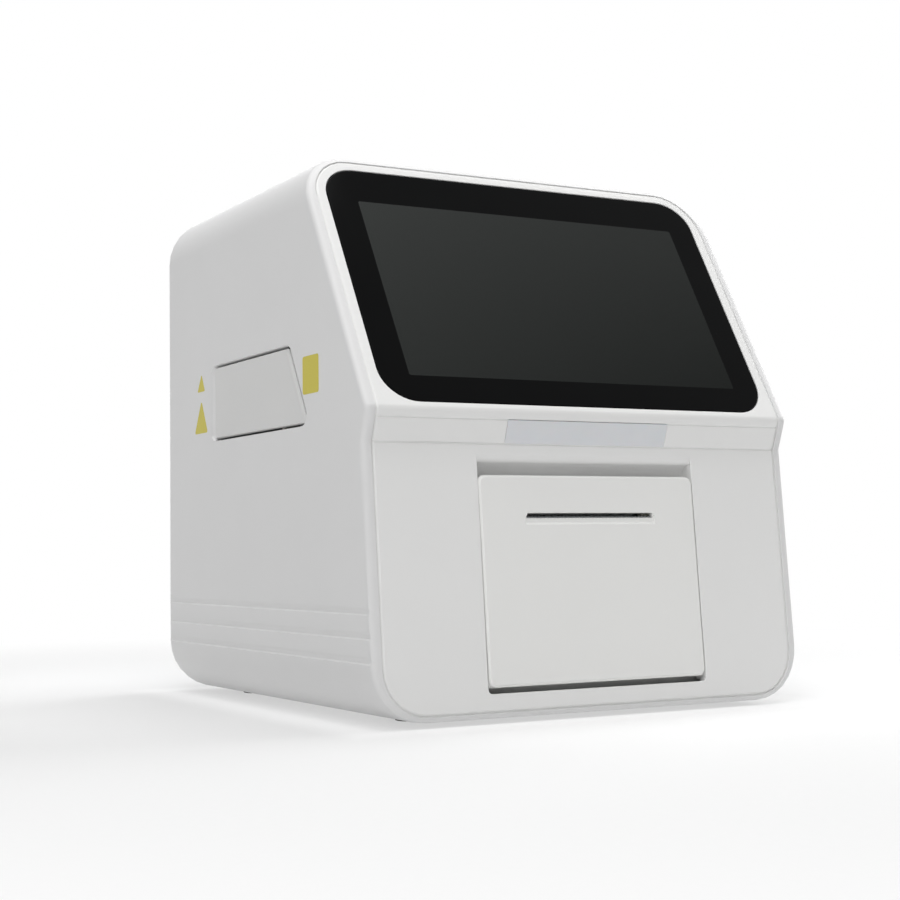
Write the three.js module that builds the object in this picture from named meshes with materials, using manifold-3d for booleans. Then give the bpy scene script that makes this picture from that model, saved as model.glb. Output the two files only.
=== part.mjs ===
// Rapid test reader: a bench-top unit that reads rapid test cassettes. It has a sloped touch
// screen, a receipt printer behind a door in the lower front, and a motorised cassette drawer in
// the left side. Millimetres, +Z up, the front faces -Y, and the origin is on the table under
// the middle of the unit.
import * as THREE from 'three';
import { mergeVertices } from 'three/addons/utils/BufferGeometryUtils.js';
import Module from 'manifold-3d';

const wasm = await Module();
wasm.setup();

const degrees = THREE.MathUtils.degToRad;

// General allowances
const GAP = 0.3; // between pieces that seat on each other
const OVERRUN = 1; // how far a cut runs past the face that it starts from
const SHARP = 0.05; // corner radius of what is sharp to the eye
const ROUND = 24; // sides of a large turned piece
const SMALL_ROUND = 12; // sides of a pin, post or small hole
const ARC_STEPS = 4; // facets of a rounded corner
const LARGE_RADIUS = 12; // from here on a corner has more facets
const LARGE_ARC_STEPS = 10;

// Housing
const WIDTH = 198.4;
const DEPTH = 224;
const HEIGHT = 224; // without the feet
const CORNER_RADIUS = 22; // of the long edges, seen from the front
const CORNER_STEPS = 7;
const RIM_RADIUS = 2.4; // rounded front rim
const RIM_STEPS = 3;
const REAR_FILLET = 8;
const REAR_STEPS = 4;
const TOP_WALL = 3;
const FLOOR_WALL = 3;
const REAR_WALL = 3;

// Front of the housing, seen from the side
const LEAN = degrees(4.9); // the lower front leans back
const CHIN_HEIGHT = 116.6;
const BAND_UNDER_CHIN = 3.3;
const BAND_HEIGHT = 9.2;
const BAND_TOP = CHIN_HEIGHT - BAND_UNDER_CHIN;
const BAND_BOTTOM = BAND_TOP - BAND_HEIGHT;
const CHIN_OVERHANG = 5.5; // the chin's edge stands out over the lower front
const CHIN_RADIUS = 3.2;
const CHIN_STEPS = 4;
const SCREEN_SLOPE = degrees(30); // the screen leans back
const BAND_GROOVE_WIDTH = 0.9;
const BAND_GROOVE_DEPTH = 0.5;

// Front bezel, set into the shell's rim
const SEAM_SIDE = 4.1; // from the shell's outside to the seam
const SEAM_BOTTOM = 2.2;
const SEAM_TOP = 1.7;
const BEZEL_WALL = 4;
const BEZEL_DEPTH = 12;
const BEZEL_RIB = 2.6; // thickness of the bezel's rim wall
const BEZEL_EDGE = 0.8;

// Long grooves low on the sides
const GROOVE_HEIGHTS = [23.6, 32.6, 41.6];
const GROOVE_DEPTH = 0.5;
const GROOVE_WIDTH = 3.2;
const GROOVE_FALL = 1.4; // height of the long slope from a groove's upper edge to its floor
const GROOVE_RISE = 0.5; // height of the short slope under its floor
const GROOVE_REAR_MARGIN = 4;

// Touch screen
const GLASS_SIDE_MARGIN = 9.1; // to the housing's side
const GLASS_TOP_MARGIN = 6.5; // to the housing's top, along the slope
const GLASS_FROM_CHIN = 3.3;
const GLASS_RADIUS = 14.5;
const GLASS_THICKNESS = 1.8;
const GLASS_EDGE = 0.4;
const VIEW_SIDE_MARGIN = 13; // from the glass's edge to the lit area
const VIEW_TOP_MARGIN = 16.5;
const VIEW_FROM_CHIN = 15.1;
const SLOPE_LENGTH = (HEIGHT - CHIN_HEIGHT) / Math.cos(SCREEN_SLOPE);
const GLASS_WIDTH = WIDTH - 2 * GLASS_SIDE_MARGIN;
const GLASS_HEIGHT = SLOPE_LENGTH - GLASS_FROM_CHIN - GLASS_TOP_MARGIN;
// The lit area comes to 154 by 86 mm, which is a 7 inch display
const VIEW_WIDTH = GLASS_WIDTH - 2 * VIEW_SIDE_MARGIN;
const VIEW_HEIGHT = GLASS_HEIGHT + GLASS_FROM_CHIN - VIEW_FROM_CHIN - VIEW_TOP_MARGIN;
const WINDOW_MARGIN = 2;
const DISPLAY_BORDER_SIDE = 5.4;
const DISPLAY_BORDER_END = 7;
const DISPLAY_THICKNESS = 5.5;
const DISPLAY_POST_RADIUS = 3;
const DISPLAY_POST_FROM_EDGE = 4;
const BRACKET_THICKNESS = 1.5;
const BRACKET_MARGIN = 8; // under and over it, within the lit area
const BRACKET_RAIL = 20; // over and under its window
const BRACKET_SIDE = 45;
const BRACKET_HEIGHT = VIEW_HEIGHT - 2 * BRACKET_MARGIN;
const BRACKET_WINDOW_WIDTH = GLASS_WIDTH - 2 * BRACKET_SIDE;
const BRACKET_WINDOW_HEIGHT = BRACKET_HEIGHT - 2 * BRACKET_RAIL;

// Status light bar in the band
const BAR_WIDTH = 75;
const BAR_FLANGE = 2;
const BAR_FLANGE_THICKNESS = 1.5;
const BAR_END_RADIUS = 0.5;
const LED_BOARD_THICKNESS = 1.6;
const LED_BOARD_MARGIN = 1;
const LED_SIZE = 3;
const LED_RISE = 1;
const LED_COUNT = 6;

// Printer door, on the lower front
const DOOR_WIDTH = 101;
const DOOR_BOTTOM = 11.6; // along the leaning front
const RECESS_RISE = 5; // the finger recess over the door's top edge
const RECESS_TO_BAND = 7.1;
const DOOR_TOP = BAND_BOTTOM / Math.cos(LEAN) - RECESS_TO_BAND - RECESS_RISE;
const DOOR_HEIGHT = DOOR_TOP - DOOR_BOTTOM;
const DOOR_PROUD = 0.5;
const DOOR_SKIN = 2.5;
const DOOR_RADIUS = 3;
const OPENING_RADIUS = 1.6; // of the corners under the door
const DOOR_EDGE = 0.8;
const DOOR_SIDE_GAP = 0.4;
const DOOR_BOTTOM_GAP = 2.3;
const DOOR_RIB = 1.6;
const DOOR_RIB_INSET = 2;
const DOOR_RIB_DEPTH = 5;
const DOOR_LIP = 10; // free edge at the top, without a rib behind it
const HINGE_RISE = 2; // over the door's bottom edge
const HINGE_DEPTH = 3; // behind the front plane
const HINGE_PIN_RADIUS = 1.2;
const HINGE_PIN_GAP = 0.25;
const HINGE_BOSS_RADIUS = 2.2;
const HINGE_BOSS_LENGTH = 6;
const HINGE_PIN_REACH = 4; // into the bezel
const HINGE_BLOCK_WIDTH = 6;
const HINGE_BLOCK_HEIGHT = 7;
const HINGE_BLOCK_DEPTH = 3;

// Finger recess over the door
const RECESS_DEPTH = 6;
const RECESS_ROOT = 7; // how far it reaches down behind the door's edge
const RECESS_ROLL = 3.2; // soft upper edge
const RECESS_FILLET = 3;
const RECESS_BACK = 2; // wall behind it
const RECESS_STEPS = 4;

// Paper slot and tear bar
const ROLL_MARGIN = 21.75; // from the door's side to the paper's edge
const ROLL_WIDTH = DOOR_WIDTH - 2 * ROLL_MARGIN;
const SLOT_PLAY = 0.8;
const SLOT_WIDTH = ROLL_WIDTH + 2 * SLOT_PLAY;
const SLOT_HEIGHT = 1.9;
const SLOT_DROP = 15.7; // middle of the slot under the door's top edge
const LEDGE_HEIGHT = 2.6;
const LEDGE_DEPTH = 0.7;
const LEDGE_SLOPE = 0.8; // height of its slanted lower edge
const LEDGE_MARGIN = 0.9;
const TEAR_BAR_THICKNESS = 0.7;
const TEAR_BAR_HEIGHT = 7;
const TEAR_BAR_DEPTH = 1.2; // behind the door's face
const TOOTH_PITCH = 1.6;
const TOOTH_HEIGHT = 0.8;

// Platen roller, on the door
const PLATEN_RADIUS = 4.6;
const PLATEN_MARGIN = 0.25; // past the paper's edge
const PLATEN_WIDTH = ROLL_WIDTH + 2 * PLATEN_MARGIN;
const PLATEN_DEPTH = 12; // behind the front plane
const PLATEN_DROP = 5.2; // under the slot's middle
const SLOT_HEIGHT_AT = DOOR_TOP - SLOT_DROP;
const PLATEN_HEIGHT = SLOT_HEIGHT_AT - PLATEN_DROP;
const PLATEN_SHAFT_RADIUS = 2;
const PLATEN_ARM = 2.2;
const PLATEN_ARM_GAP = 0.6;
const PLATEN_ARM_BOSS = 4;
const PLATEN_ARM_DROP = 9; // height of the arm's root under the platen's axis
const PLATEN_SHAFT_PLAY = 0.25;

// Paper roll and its bay
const ROLL_PLAY = 2; // between the roll and the cradle's arc
const ROLL_CORE_RADIUS = 6;
const BAY_SIDE_PLAY = 1.2; // between the roll and the bay's side wall
const BAY_WALL = 2;
const CRADLE_STEPS = 10;
const CRADLE_LIP = 9; // front lip over the cradle's lowest point
const BAY_UNDER_PLATEN = 7.5;
const BAY_TOP = PLATEN_HEIGHT - BAY_UNDER_PLATEN; // along the leaning front
const BAY_BOTTOM = 15;
const CRADLE_OVER_TOP = 5; // how far the cradle's circle passes over the bay's top
const CRADLE_RADIUS = (BAY_TOP - BAY_BOTTOM - BAY_WALL + CRADLE_OVER_TOP) / 2;
const ROLL_RADIUS = CRADLE_RADIUS - ROLL_PLAY;
const LINER_DEPTH = 8.5; // front of the liner plate behind the front plane
const LINER_WALL = 2;
const LINER_MARGIN = 5; // over the door opening's sides
const LINER_FLOOR = 9;
const LINER_NOTCH = 8; // room for the hinge blocks
const MOUTH_MARGIN = 8.25; // past the paper's edge
const MOUTH_HALF = ROLL_WIDTH / 2 + MOUTH_MARGIN; // half the width of the printer's mouth

// Gears: stub teeth, so that 12 of them have no undercut
const PRESSURE_ANGLE = degrees(25);
const ADDENDUM_SHARE = 0.8;
const DEDENDUM_SHARE = 1.05;
const PRINTER_MODULE = 0.7;
const PLATEN_TEETH = 20;
const MOTOR_TEETH = 12;
const PRINTER_GEAR_WIDTH = 2.8;
const PRINTER_GEAR_GAP = 0.8; // beside the arm
const PRINTER_BACKLASH = 0.3;
const CENTRE_PLAY = 0.1;
const PINION_ANGLE = degrees(-35); // from the platen, under the horizontal
const BORE_PLAY = 0.3;

// Printer mechanism, fixed in the housing
const FRAME_PLATE = 1.2;
const FRAME_DEPTH = 23;
const FRAME_OVER_PLATEN = 16.5;
const FRAME_TOP = PLATEN_HEIGHT + FRAME_OVER_PLATEN;
const FRAME_TOP_PLATE = 1.4;
const FRAME_BACK_HEIGHT = 9;
const HEAD_ANGLE = degrees(40); // where the head meets the platen
const HEAD_HEIGHT = 14;
const HEAD_PLATE = 4;
const HEAD_BEAM = 2.5;
const HEAD_BEAM_SHARE = 0.8; // of the head plate's height
const HEAD_END_MARGIN = 0.5;
const FIN_COUNT = 4;
const FIN_THICKNESS = 1.2;
const FIN_HEIGHT = 3;
const PRINTER_MOTOR_RADIUS = 10;
const PRINTER_MOTOR_LENGTH = 16;
const PRINTER_MOTOR_SHAFT = 1;
const MOTOR_HOLE_PLAY = 0.5;

// Cassette drawer, in the left side
const DRAWER_BOTTOM = 114.4;
const DRAWER_HEIGHT = 31.6;
const DRAWER_REAR = 47.2; // from the middle of the unit
const DRAWER_LENGTH = 100.5; // along its lower edge
const DRAWER_RADIUS = 1.5;
const DRAWER_FRONT_THICKNESS = 3;
const DRAWER_EDGE_WIDTH = 2.2;
const DRAWER_EDGE_DEPTH = 1;
const DRAWER_EDGE_TOP = 0.4;
const DRAWER_SIDE_GAP = 0.8;
const DRAWER_LEVEL_GAP = 0.9; // over and under it
const DRAWER_BEVEL_WIDTH = 2.6; // of the shell, beside the drawer
const DRAWER_BEVEL_LEVEL = 0.3;
const DRAWER_BEVEL_DEPTH = 1.2;

// Tray with three cassette nests
const TRAY_LENGTH = 110;
const TRAY_WIDTH = 77;
const TRAY_THICKNESS = 9;
const TRAY_RISE = 3.6; // over the drawer front's lower edge
const TRAY_REAR_MARGIN = 5.2; // from the drawer front's rear edge to the tray's side
const NEST_COUNT = 3;
const NEST_PITCH = 27;
const NEST_FIRST = 12; // from the drawer front's back to the first nest's middle
const NEST_WIDTH = 20.6;
const NEST_LENGTH = 70.6;
const NEST_DEPTH = 5.2;
const NEST_RADIUS = 2;
const CHANNEL_WIDTH = 18; // finger channel across the nests
const CHANNEL_DEPTH = 6.6;
const CHANNEL_END_SHARE = 0.25; // of the outer nests' width
const TRAY_FLANGE_WIDTH = 3;
const TRAY_FLANGE_THICKNESS = 2;
const TRAY_FLANGE_RISE = 3;

// Rails, rack and pinion
const RAIL_LENGTH = 115;
const RAIL_WALL = 1.7;
const RAIL_SIDE_GAP = 0.6;
const RAIL_PLAY = 0.3;
const RAIL_FOOT = 1.6;
const RACK_MODULE = 1;
const RACK_END_MARGIN = 6; // from the rack's end to the tray's end
const RACK_TEETH = Math.floor((TRAY_LENGTH - RACK_END_MARGIN) / (Math.PI * RACK_MODULE));
const RACK_WIDTH = 5;
const RACK_HEIGHT = 4;
const RACK_SIDE = 12; // from the tray's front side to the rack's back
const RACK_BACKLASH = 0.35;
const DRAWER_PINION_TEETH = 12;
const DRAWER_PINION_HEIGHT = 3.6;
const DRAWER_PINION_FROM_WALL = 16;
const DRAWER_MOTOR_RADIUS = 12;
const DRAWER_MOTOR_LENGTH = 18;
const DRAWER_MOTOR_SHAFT = 1.5;

// Bridge that carries the drawer
const BRIDGE_TOP = 112;
const BRIDGE_PLATE = 1.5;
const BRIDGE_FROM_SUPPLY = 5;
const BRIDGE_FRONT = -44;
const BRIDGE_REAR = 53;
const BRIDGE_SIDE_MARGIN = 1.2; // to the shell's inside
const BRIDGE_LEG_INSET = 7;
const BRIDGE_LEG_WIDTH = 45; // of the left leg, behind the motor
const BRIDGE_FOOT = 8;

// Read head over the nests
const HEAD_CLEARANCE = 4; // over the tray
const READ_HEAD_HEIGHT = 20;
const READ_HEAD_WIDTH = 32;
const READ_HEAD_SIDE_MARGIN = 10; // past the outer nests' middles
const PORTAL_THICKNESS = 4;
const PORTAL_WIDTH = 22;
const PORTAL_GAP = 1.6; // beside the rails
const LENS_RADIUS = 6;
const LENS_LENGTH = 6;
const LENS_SEAT = 4;
const LENS_STEP = 1.4;

// Base plate and boards
const BASE_THICKNESS = 1.5;
const BASE_RISE = 8;
const BASE_SIDE_MARGIN = 10.7;
const BASE_FRONT = -38;
const BASE_REAR_MARGIN = 7;
const BASE_POST_RADIUS = 4.5;
const BASE_POST_SIDE = 31.2; // to the housing's side
const BASE_POST_X = WIDTH / 2 - BASE_POST_SIDE;
const BASE_POST_FRONT = -26;
const BASE_POST_REAR_MARGIN = 22;
const BASE_POST_REAR = DEPTH / 2 - BASE_POST_REAR_MARGIN;
const BOARD_THICKNESS = 1.6;
const BOARD_RISE = 4.5;
const SUPPLY_SIDE_MARGIN = 15.2; // to the housing's right side
const SUPPLY_WIDTH = 52;
const SUPPLY_RIGHT = WIDTH / 2 - SUPPLY_SIDE_MARGIN;
const SUPPLY_LEFT = SUPPLY_RIGHT - SUPPLY_WIDTH;
const BOARD_SIDE_MARGIN = 22.2; // to the housing's left side
const BOARD_TO_SUPPLY = 17;
const BOARD_LEFT = -WIDTH / 2 + BOARD_SIDE_MARGIN;
const BOARD_RIGHT = SUPPLY_LEFT - BOARD_TO_SUPPLY;
const BOARD_FRONT = -28;
const BOARD_REAR_MARGIN = 8;
const BOARD_REAR = DEPTH / 2 - BOARD_REAR_MARGIN;
const BOARD_POST_RADIUS = 2.4;
const BOARD_POST_INSET = 5;
const CHIP_TOP = 2;
const CHIP_SIZE = 18;
const HEAT_SINK_SIZE = 24;
const HEAT_SINK_TOP = 9;
const HEAT_SINK_GROOVES = 3;
const SUPPLY_FRONT = -24;
const SUPPLY_REAR = 76;
const SUPPLY_CORE_WIDTH = 24;
const SUPPLY_CORE_LENGTH = 26;
const SUPPLY_CORE_HEIGHT = 24;
const CAPACITOR_RADIUS = 8;
const CAPACITOR_HEIGHT = 26;
const SUPPLY_FIN_HEIGHT = 28;

// Rear panel and what is in it
const PANEL_SIDE_MARGIN = 21.2; // to the housing's side
const PANEL_TOP_MARGIN = 27;
const PANEL_WIDTH = WIDTH - 2 * PANEL_SIDE_MARGIN;
const PANEL_BOTTOM = 9;
const PANEL_TOP = HEIGHT - PANEL_TOP_MARGIN;
const PANEL_THICKNESS = 1.5;
const PANEL_LAP = 7; // behind the shell's rear wall
const PANEL_RADIUS = 6;
const PUNCH_RADIUS = 0.8; // corners of the punched openings
const PANEL_SCREW_INSET = 3.5;
const SCREW_HEAD_RADIUS = 2.8;
const SCREW_HEAD_HEIGHT = 1.5;
const SCREW_RADIUS = 1.4;
const SCREW_LENGTH = 6;
const SCREW_SLOT_WIDTH = 0.8;
const SCREW_SLOT_DEPTH = 0.7;
const SCREW_SUNK = 2; // the head's seat in the wall
const SCREW_PLAY = 0.3;
const VENT_COUNT = 9;
const VENT_PITCH = 6;
const VENT_HEIGHT = 3;
const FAN_SIZE = 60;
const FAN_FROM_SIDE = 38; // from the panel's side to the fan's axis
const FAN_FROM_TOP = 47;
const FAN_X = PANEL_WIDTH / 2 - FAN_FROM_SIDE;
const FAN_Z = PANEL_TOP - FAN_FROM_TOP;
const SIDE_VENT_COUNT = 6; // beside the fan
const SIDE_VENT_MARGIN = 14; // to the panel's side
const SIDE_VENT_TO_FAN = 10;
const SIDE_VENT_ENDS = [
  -PANEL_WIDTH / 2 + SIDE_VENT_MARGIN, FAN_X - FAN_SIZE / 2 - SIDE_VENT_TO_FAN];
const INLET_FROM_SIDE = 25;
const INLET_X = PANEL_WIDTH / 2 - INLET_FROM_SIDE;
const INLET_Z = 34;
const INLET_WIDTH = 30.5;
const INLET_HEIGHT = 24;
const INLET_FLANGE = 1.5;
const INLET_BODY_WIDTH = 27;
const INLET_BODY_HEIGHT = 20;
const INLET_BODY_DEPTH = 22;
const INLET_SOCKET_WIDTH = 24.5;
const INLET_SOCKET_HEIGHT = 17;
const INLET_SOCKET_DEPTH = 17;
const INLET_SOCKET_CORNER = 4;
const BLADE_LENGTH = 14;
const BLADE_WIDTH = 4;
const BLADE_THICKNESS = 2;
const BLADE_SPREAD = 7;
const BLADE_OFFSET = 2;
const SWITCH_FROM_INLET = 26;
const SWITCH_X = INLET_X - SWITCH_FROM_INLET;
const SWITCH_WIDTH = 15;
const SWITCH_HEIGHT = 21;
const SWITCH_BODY_WIDTH = 13;
const SWITCH_BODY_HEIGHT = 19;
const SWITCH_BODY_DEPTH = 16;
const SWITCH_WALL = 1.2;
const SWITCH_FLANGE = 1.2;
const ROCKER_PLAY = 0.4;
const ROCKER_END_PLAY = 1.1; // room to tilt
const ROCKER_TILT = degrees(8); // it rests switched off
const ROCKER_RADIUS = 26; // of its dished face
const ROCKER_AXIS_DEPTH = 5;
const ROCKER_SUNK = 0.8;
const ROCKER_BODY = 4;
const ROCKER_PIVOT_RADIUS = 1.2;
const PORT_PROUD = 0.3;
const LAN_FROM_SIDE = 18; // from the panel's side
const LAN_X = -PANEL_WIDTH / 2 + LAN_FROM_SIDE;
const LAN_WIDTH = 16;
const LAN_HEIGHT = 13.5;
const LAN_DEPTH = 18;
const LAN_OPENING_WIDTH = 11.8;
const LAN_OPENING_HEIGHT = 8;
const LAN_OPENING_DEPTH = 12;
const LAN_LATCH_WIDTH = 5;
const LAN_LATCH_HEIGHT = 2.4;
const LAN_SILL = 2;
const USB_FROM_LAN = [24, 44];
const USB_X = USB_FROM_LAN.map((distance) => LAN_X + distance);
const USB_WIDTH = 14.4;
const USB_HEIGHT = 7;
const USB_DEPTH = 15;
const USB_WALL = 0.8;
const USB_MOUTH_DEPTH = 11;
const USB_TONGUE = 1.9;
const PORT_PLAY = 0.5;

// Fan behind the rear panel
const FAN_DEPTH = 15;
const FAN_CORNER = 4;
const FAN_BORE_RADIUS = 28;
const FAN_HUB_RADIUS = 13;
const FAN_HUB_DEPTH = 10;
const FAN_STRUT = 3;
const FAN_STRUT_COUNT = 4;
const FAN_STRUT_DEPTH = 2.5;
const FAN_TIP_GAP = 1;
const FAN_BLADES = 7;
const FAN_BLADE_THICKNESS = 1.4;
const FAN_BLADE_CHORD = 12;
const FAN_BLADE_ROOT_PITCH = degrees(48);
const FAN_BLADE_TIP_PITCH = degrees(30);
const FAN_SHAFT_RADIUS = 2.5;
const FAN_HOLE_RADIUS = 2.2;
const FAN_HOLE_INSET = 5;

// Feet
const FOOT_STAND = 2; // how far a foot stands under the shell
const FOOT_RADIUS = 8;
const FOOT_SEAT = 1.2;
const FOOT_EDGE = 0.6;
const FOOT_DISH_RADIUS = 4;
const FOOT_DISH = 0.8;
const FOOT_FROM_SIDE = 34; // from the housing's side to the foot's middle
const FOOT_FROM_END = 34;
const FOOT_X = WIDTH / 2 - FOOT_FROM_SIDE;
const FOOT_REAR = DEPTH / 2 - FOOT_FROM_END;
const FOOT_FRONT = -FOOT_REAR;

// Materials, with the colours of the photograph
const material = (color, roughness, metalness = 0) =>
  new THREE.MeshStandardMaterial({ color, roughness, metalness });
const shellPlastic = material(0xd4d5d5, 0.55);
const bezelPlastic = material(0xe6e6e5, 0.5);
const darkPlastic = material(0x2b2c2e, 0.6);
const greyPlastic = material(0x8d9093, 0.6);
const glassBlack = material(0x101112, 0.08);
const diffuser = material(0xc5c7cd, 0.35);
const rubber = material(0x1c1c1d, 0.9);
const steel = material(0xb9bcc0, 0.35, 1);
const zincSheet = material(0xa9adb1, 0.45, 1);
const aluminium = material(0xc2c5c8, 0.4, 1);
const brassGear = material(0xb89a55, 0.35, 1);
const nylon = material(0xe8e4d8, 0.5);
const circuitBoard = material(0x1f5a3a, 0.55);
const paper = material(0xf4f2ec, 0.85);
const lensGlass = material(0x6c7f99, 0.1);

// Directions that a flat outline can be raised in: its X, its Y and the way it rises
const X_AXIS = new THREE.Vector3(1, 0, 0);
const Y_AXIS = new THREE.Vector3(0, 1, 0);
const Z_AXIS = new THREE.Vector3(0, 0, 1);
const away = (axis) => axis.clone().negate();
const basis = (a, b, n) => new THREE.Matrix4().makeBasis(a, b, n);
const FORWARD = basis(X_AXIS, Z_AXIS, away(Y_AXIS)); // out of the front
const REARWARD = basis(away(X_AXIS), Z_AXIS, Y_AXIS); // out of the rear
const LEFTWARD = basis(away(Y_AXIS), Z_AXIS, away(X_AXIS)); // out of the left side
const SIDEWAYS = basis(Y_AXIS, Z_AXIS, X_AXIS); // a side profile, raised along +X
const move = (x, y, z) => new THREE.Matrix4().makeTranslation(x, y, z);
const turnX = (angle) => new THREE.Matrix4().makeRotationX(angle);
const turnZ = (angle) => new THREE.Matrix4().makeRotationZ(angle);

// A closed geometry as a solid, moved by matrices that apply from the last to the first
function solid(geometry, ...matrices) {
  const bare = geometry.clone();
  bare.deleteAttribute('normal');
  bare.deleteAttribute('uv');
  const merged = mergeVertices(bare);
  for (const matrix of [...matrices].reverse()) merged.applyMatrix4(matrix);
  const triVerts = [];
  for (let i = 0; i < merged.index.count; i += 3) {
    const [a, b, c] = [0, 1, 2].map((k) => merged.index.getX(i + k));
    if (a !== b && b !== c && c !== a) triVerts.push(a, b, c);
  }
  return new wasm.Manifold(new wasm.Mesh({
    numProp: 3,
    vertProperties: new Float32Array(merged.attributes.position.array),
    triVerts: new Uint32Array(triVerts),
  }));
}

function geometryOf(positions, index) {
  const geometry = new THREE.BufferGeometry();
  geometry.setAttribute('position', new THREE.Float32BufferAttribute(positions, 3));
  geometry.setIndex(index);
  return geometry;
}

const join = (...solids) => solids.reduce((whole, piece) => whole.add(piece));
const cut = (whole, ...cutters) => whole.subtract(join(...cutters));

function block([x0, x1], [y0, y1], [z0, z1], ...matrices) {
  const box = new THREE.BoxGeometry(x1 - x0, y1 - y0, z1 - z0);
  return solid(box, ...matrices, move((x0 + x1) / 2, (y0 + y1) / 2, (z0 + z1) / 2));
}

// A round bar from its foot at the origin, along +Z
function bar(radius, length, sides, ...matrices) {
  const geometry = new THREE.CylinderGeometry(radius, radius, length, sides);
  return solid(geometry.rotateX(Math.PI / 2), ...matrices, move(0, 0, length / 2));
}

// A profile of [radius, height] points turned round Z
function turned(profile, sides, ...matrices) {
  const points = profile.map(([radius, height]) => new THREE.Vector2(radius, height));
  return solid(new THREE.LatheGeometry(points, sides).rotateX(Math.PI / 2), ...matrices);
}

const rectangle = (width, height, x = 0, y = 0) => [
  [x - width / 2, y - height / 2], [x + width / 2, y - height / 2],
  [x + width / 2, y + height / 2], [x - width / 2, y + height / 2],
];

// Moves each edge of a convex outline inwards, by one amount or by one for each edge
function inset(corners, amount) {
  const count = corners.length;
  const edges = corners.map((from, i) => {
    const to = corners[(i + 1) % count];
    const length = Math.hypot(to[0] - from[0], to[1] - from[1]);
    const along = [(to[0] - from[0]) / length, (to[1] - from[1]) / length];
    const shift = Array.isArray(amount) ? amount[i] : amount;
    return { along, point: [from[0] - along[1] * shift, from[1] + along[0] * shift] };
  });
  return edges.map((edge, i) => {
    const last = edges[(i + count - 1) % count];
    const cross = last.along[0] * edge.along[1] - last.along[1] * edge.along[0];
    const gap = [edge.point[0] - last.point[0], edge.point[1] - last.point[1]];
    const t = (gap[0] * edge.along[1] - gap[1] * edge.along[0]) / cross;
    return [last.point[0] + last.along[0] * t, last.point[1] + last.along[1] * t];
  });
}

// A convex outline with arcs in its corners
function rounded(corners, radius, steps = ARC_STEPS) {
  const count = corners.length;
  return corners.flatMap((corner, i) => {
    const toward = (other) => {
      const length = Math.hypot(other[0] - corner[0], other[1] - corner[1]);
      return [(other[0] - corner[0]) / length, (other[1] - corner[1]) / length];
    };
    const back = toward(corners[(i + count - 1) % count]);
    const ahead = toward(corners[(i + 1) % count]);
    const half = Math.acos(back[0] * ahead[0] + back[1] * ahead[1]) / 2;
    const middle = [back[0] + ahead[0], back[1] + ahead[1]];
    const reach = radius / Math.sin(half) / Math.hypot(...middle);
    const centre = [corner[0] + middle[0] * reach, corner[1] + middle[1] * reach];
    const start = Math.atan2(-back[0], back[1]) + Math.PI;
    const sweep = Math.PI - 2 * half;
    return Array.from({ length: steps + 1 }, (_, k) => {
      const angle = start + sweep * k / steps;
      return [centre[0] + radius * Math.cos(angle), centre[1] + radius * Math.sin(angle)];
    });
  });
}

const flat = (outline) => {
  const faces = THREE.ShapeUtils.triangulateShape(
    outline.map(([x, y]) => new THREE.Vector2(x, y)), []);
  return faces;
};

// Outlines of equal point counts at rising heights, skinned and capped
function stack(rings, ...matrices) {
  const count = rings[0].outline.length;
  const positions = rings.flatMap(({ outline, height }) =>
    outline.flatMap(([x, y]) => [x, y, height]));
  const index = [];
  for (let r = 0; r < rings.length - 1; r++) {
    for (let i = 0; i < count; i++) {
      const a = r * count + i;
      const b = r * count + (i + 1) % count;
      index.push(a, b, b + count, a, b + count, a + count);
    }
  }
  const last = (rings.length - 1) * count;
  for (const [a, b, c] of flat(rings[0].outline)) index.push(c, b, a);
  for (const [a, b, c] of flat(rings.at(-1).outline)) index.push(last + a, last + b, last + c);
  return solid(geometryOf(positions, index), ...matrices);
}

const raise = (outline, low, high, ...matrices) =>
  stack([{ outline, height: low }, { outline, height: high }], ...matrices);

// A rounded plate whose outline is drawn in by an amount at each height
function plate(corners, radius, levels, ...matrices) {
  const steps = radius < LARGE_RADIUS ? ARC_STEPS : LARGE_ARC_STEPS;
  return stack(levels.map(([amount, height]) => {
    const least = Array.isArray(amount) ? Math.min(...amount) : amount;
    const outline = rounded(inset(corners, amount), Math.max(radius - least, SHARP), steps);
    return { outline, height };
  }), ...matrices);
}

// The housing's front face, as the depth at each height
const lowerY = (z) => -DEPTH / 2 + Math.tan(LEAN) * (z - RIM_RADIUS);
const CHIN_Y = lowerY(CHIN_HEIGHT) - CHIN_OVERHANG;
const BAND_Y = lowerY(BAND_BOTTOM);
const BAND_ANGLE = Math.atan2(BAND_Y - CHIN_Y, CHIN_HEIGHT - BAND_BOTTOM);
const bandY = (z) => BAND_Y - Math.tan(BAND_ANGLE) * (z - BAND_BOTTOM);
const screenY = (z) => CHIN_Y + Math.tan(SCREEN_SLOPE) * (z - CHIN_HEIGHT);
const CHIN_TURN = BAND_ANGLE + SCREEN_SLOPE;
const CHIN_TANGENT = CHIN_RADIUS * Math.tan(CHIN_TURN / 2);
const CHIN_ARC = Array.from({ length: CHIN_STEPS + 1 }, (_, i) => {
  const startY = CHIN_Y + Math.sin(BAND_ANGLE) * CHIN_TANGENT;
  const startZ = CHIN_HEIGHT - Math.cos(BAND_ANGLE) * CHIN_TANGENT;
  const centreY = startY + Math.cos(BAND_ANGLE) * CHIN_RADIUS;
  const centreZ = startZ + Math.sin(BAND_ANGLE) * CHIN_RADIUS;
  const angle = -BAND_ANGLE + CHIN_TURN * i / CHIN_STEPS;
  return [centreY - Math.cos(angle) * CHIN_RADIUS, centreZ + Math.sin(angle) * CHIN_RADIUS];
});

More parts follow.
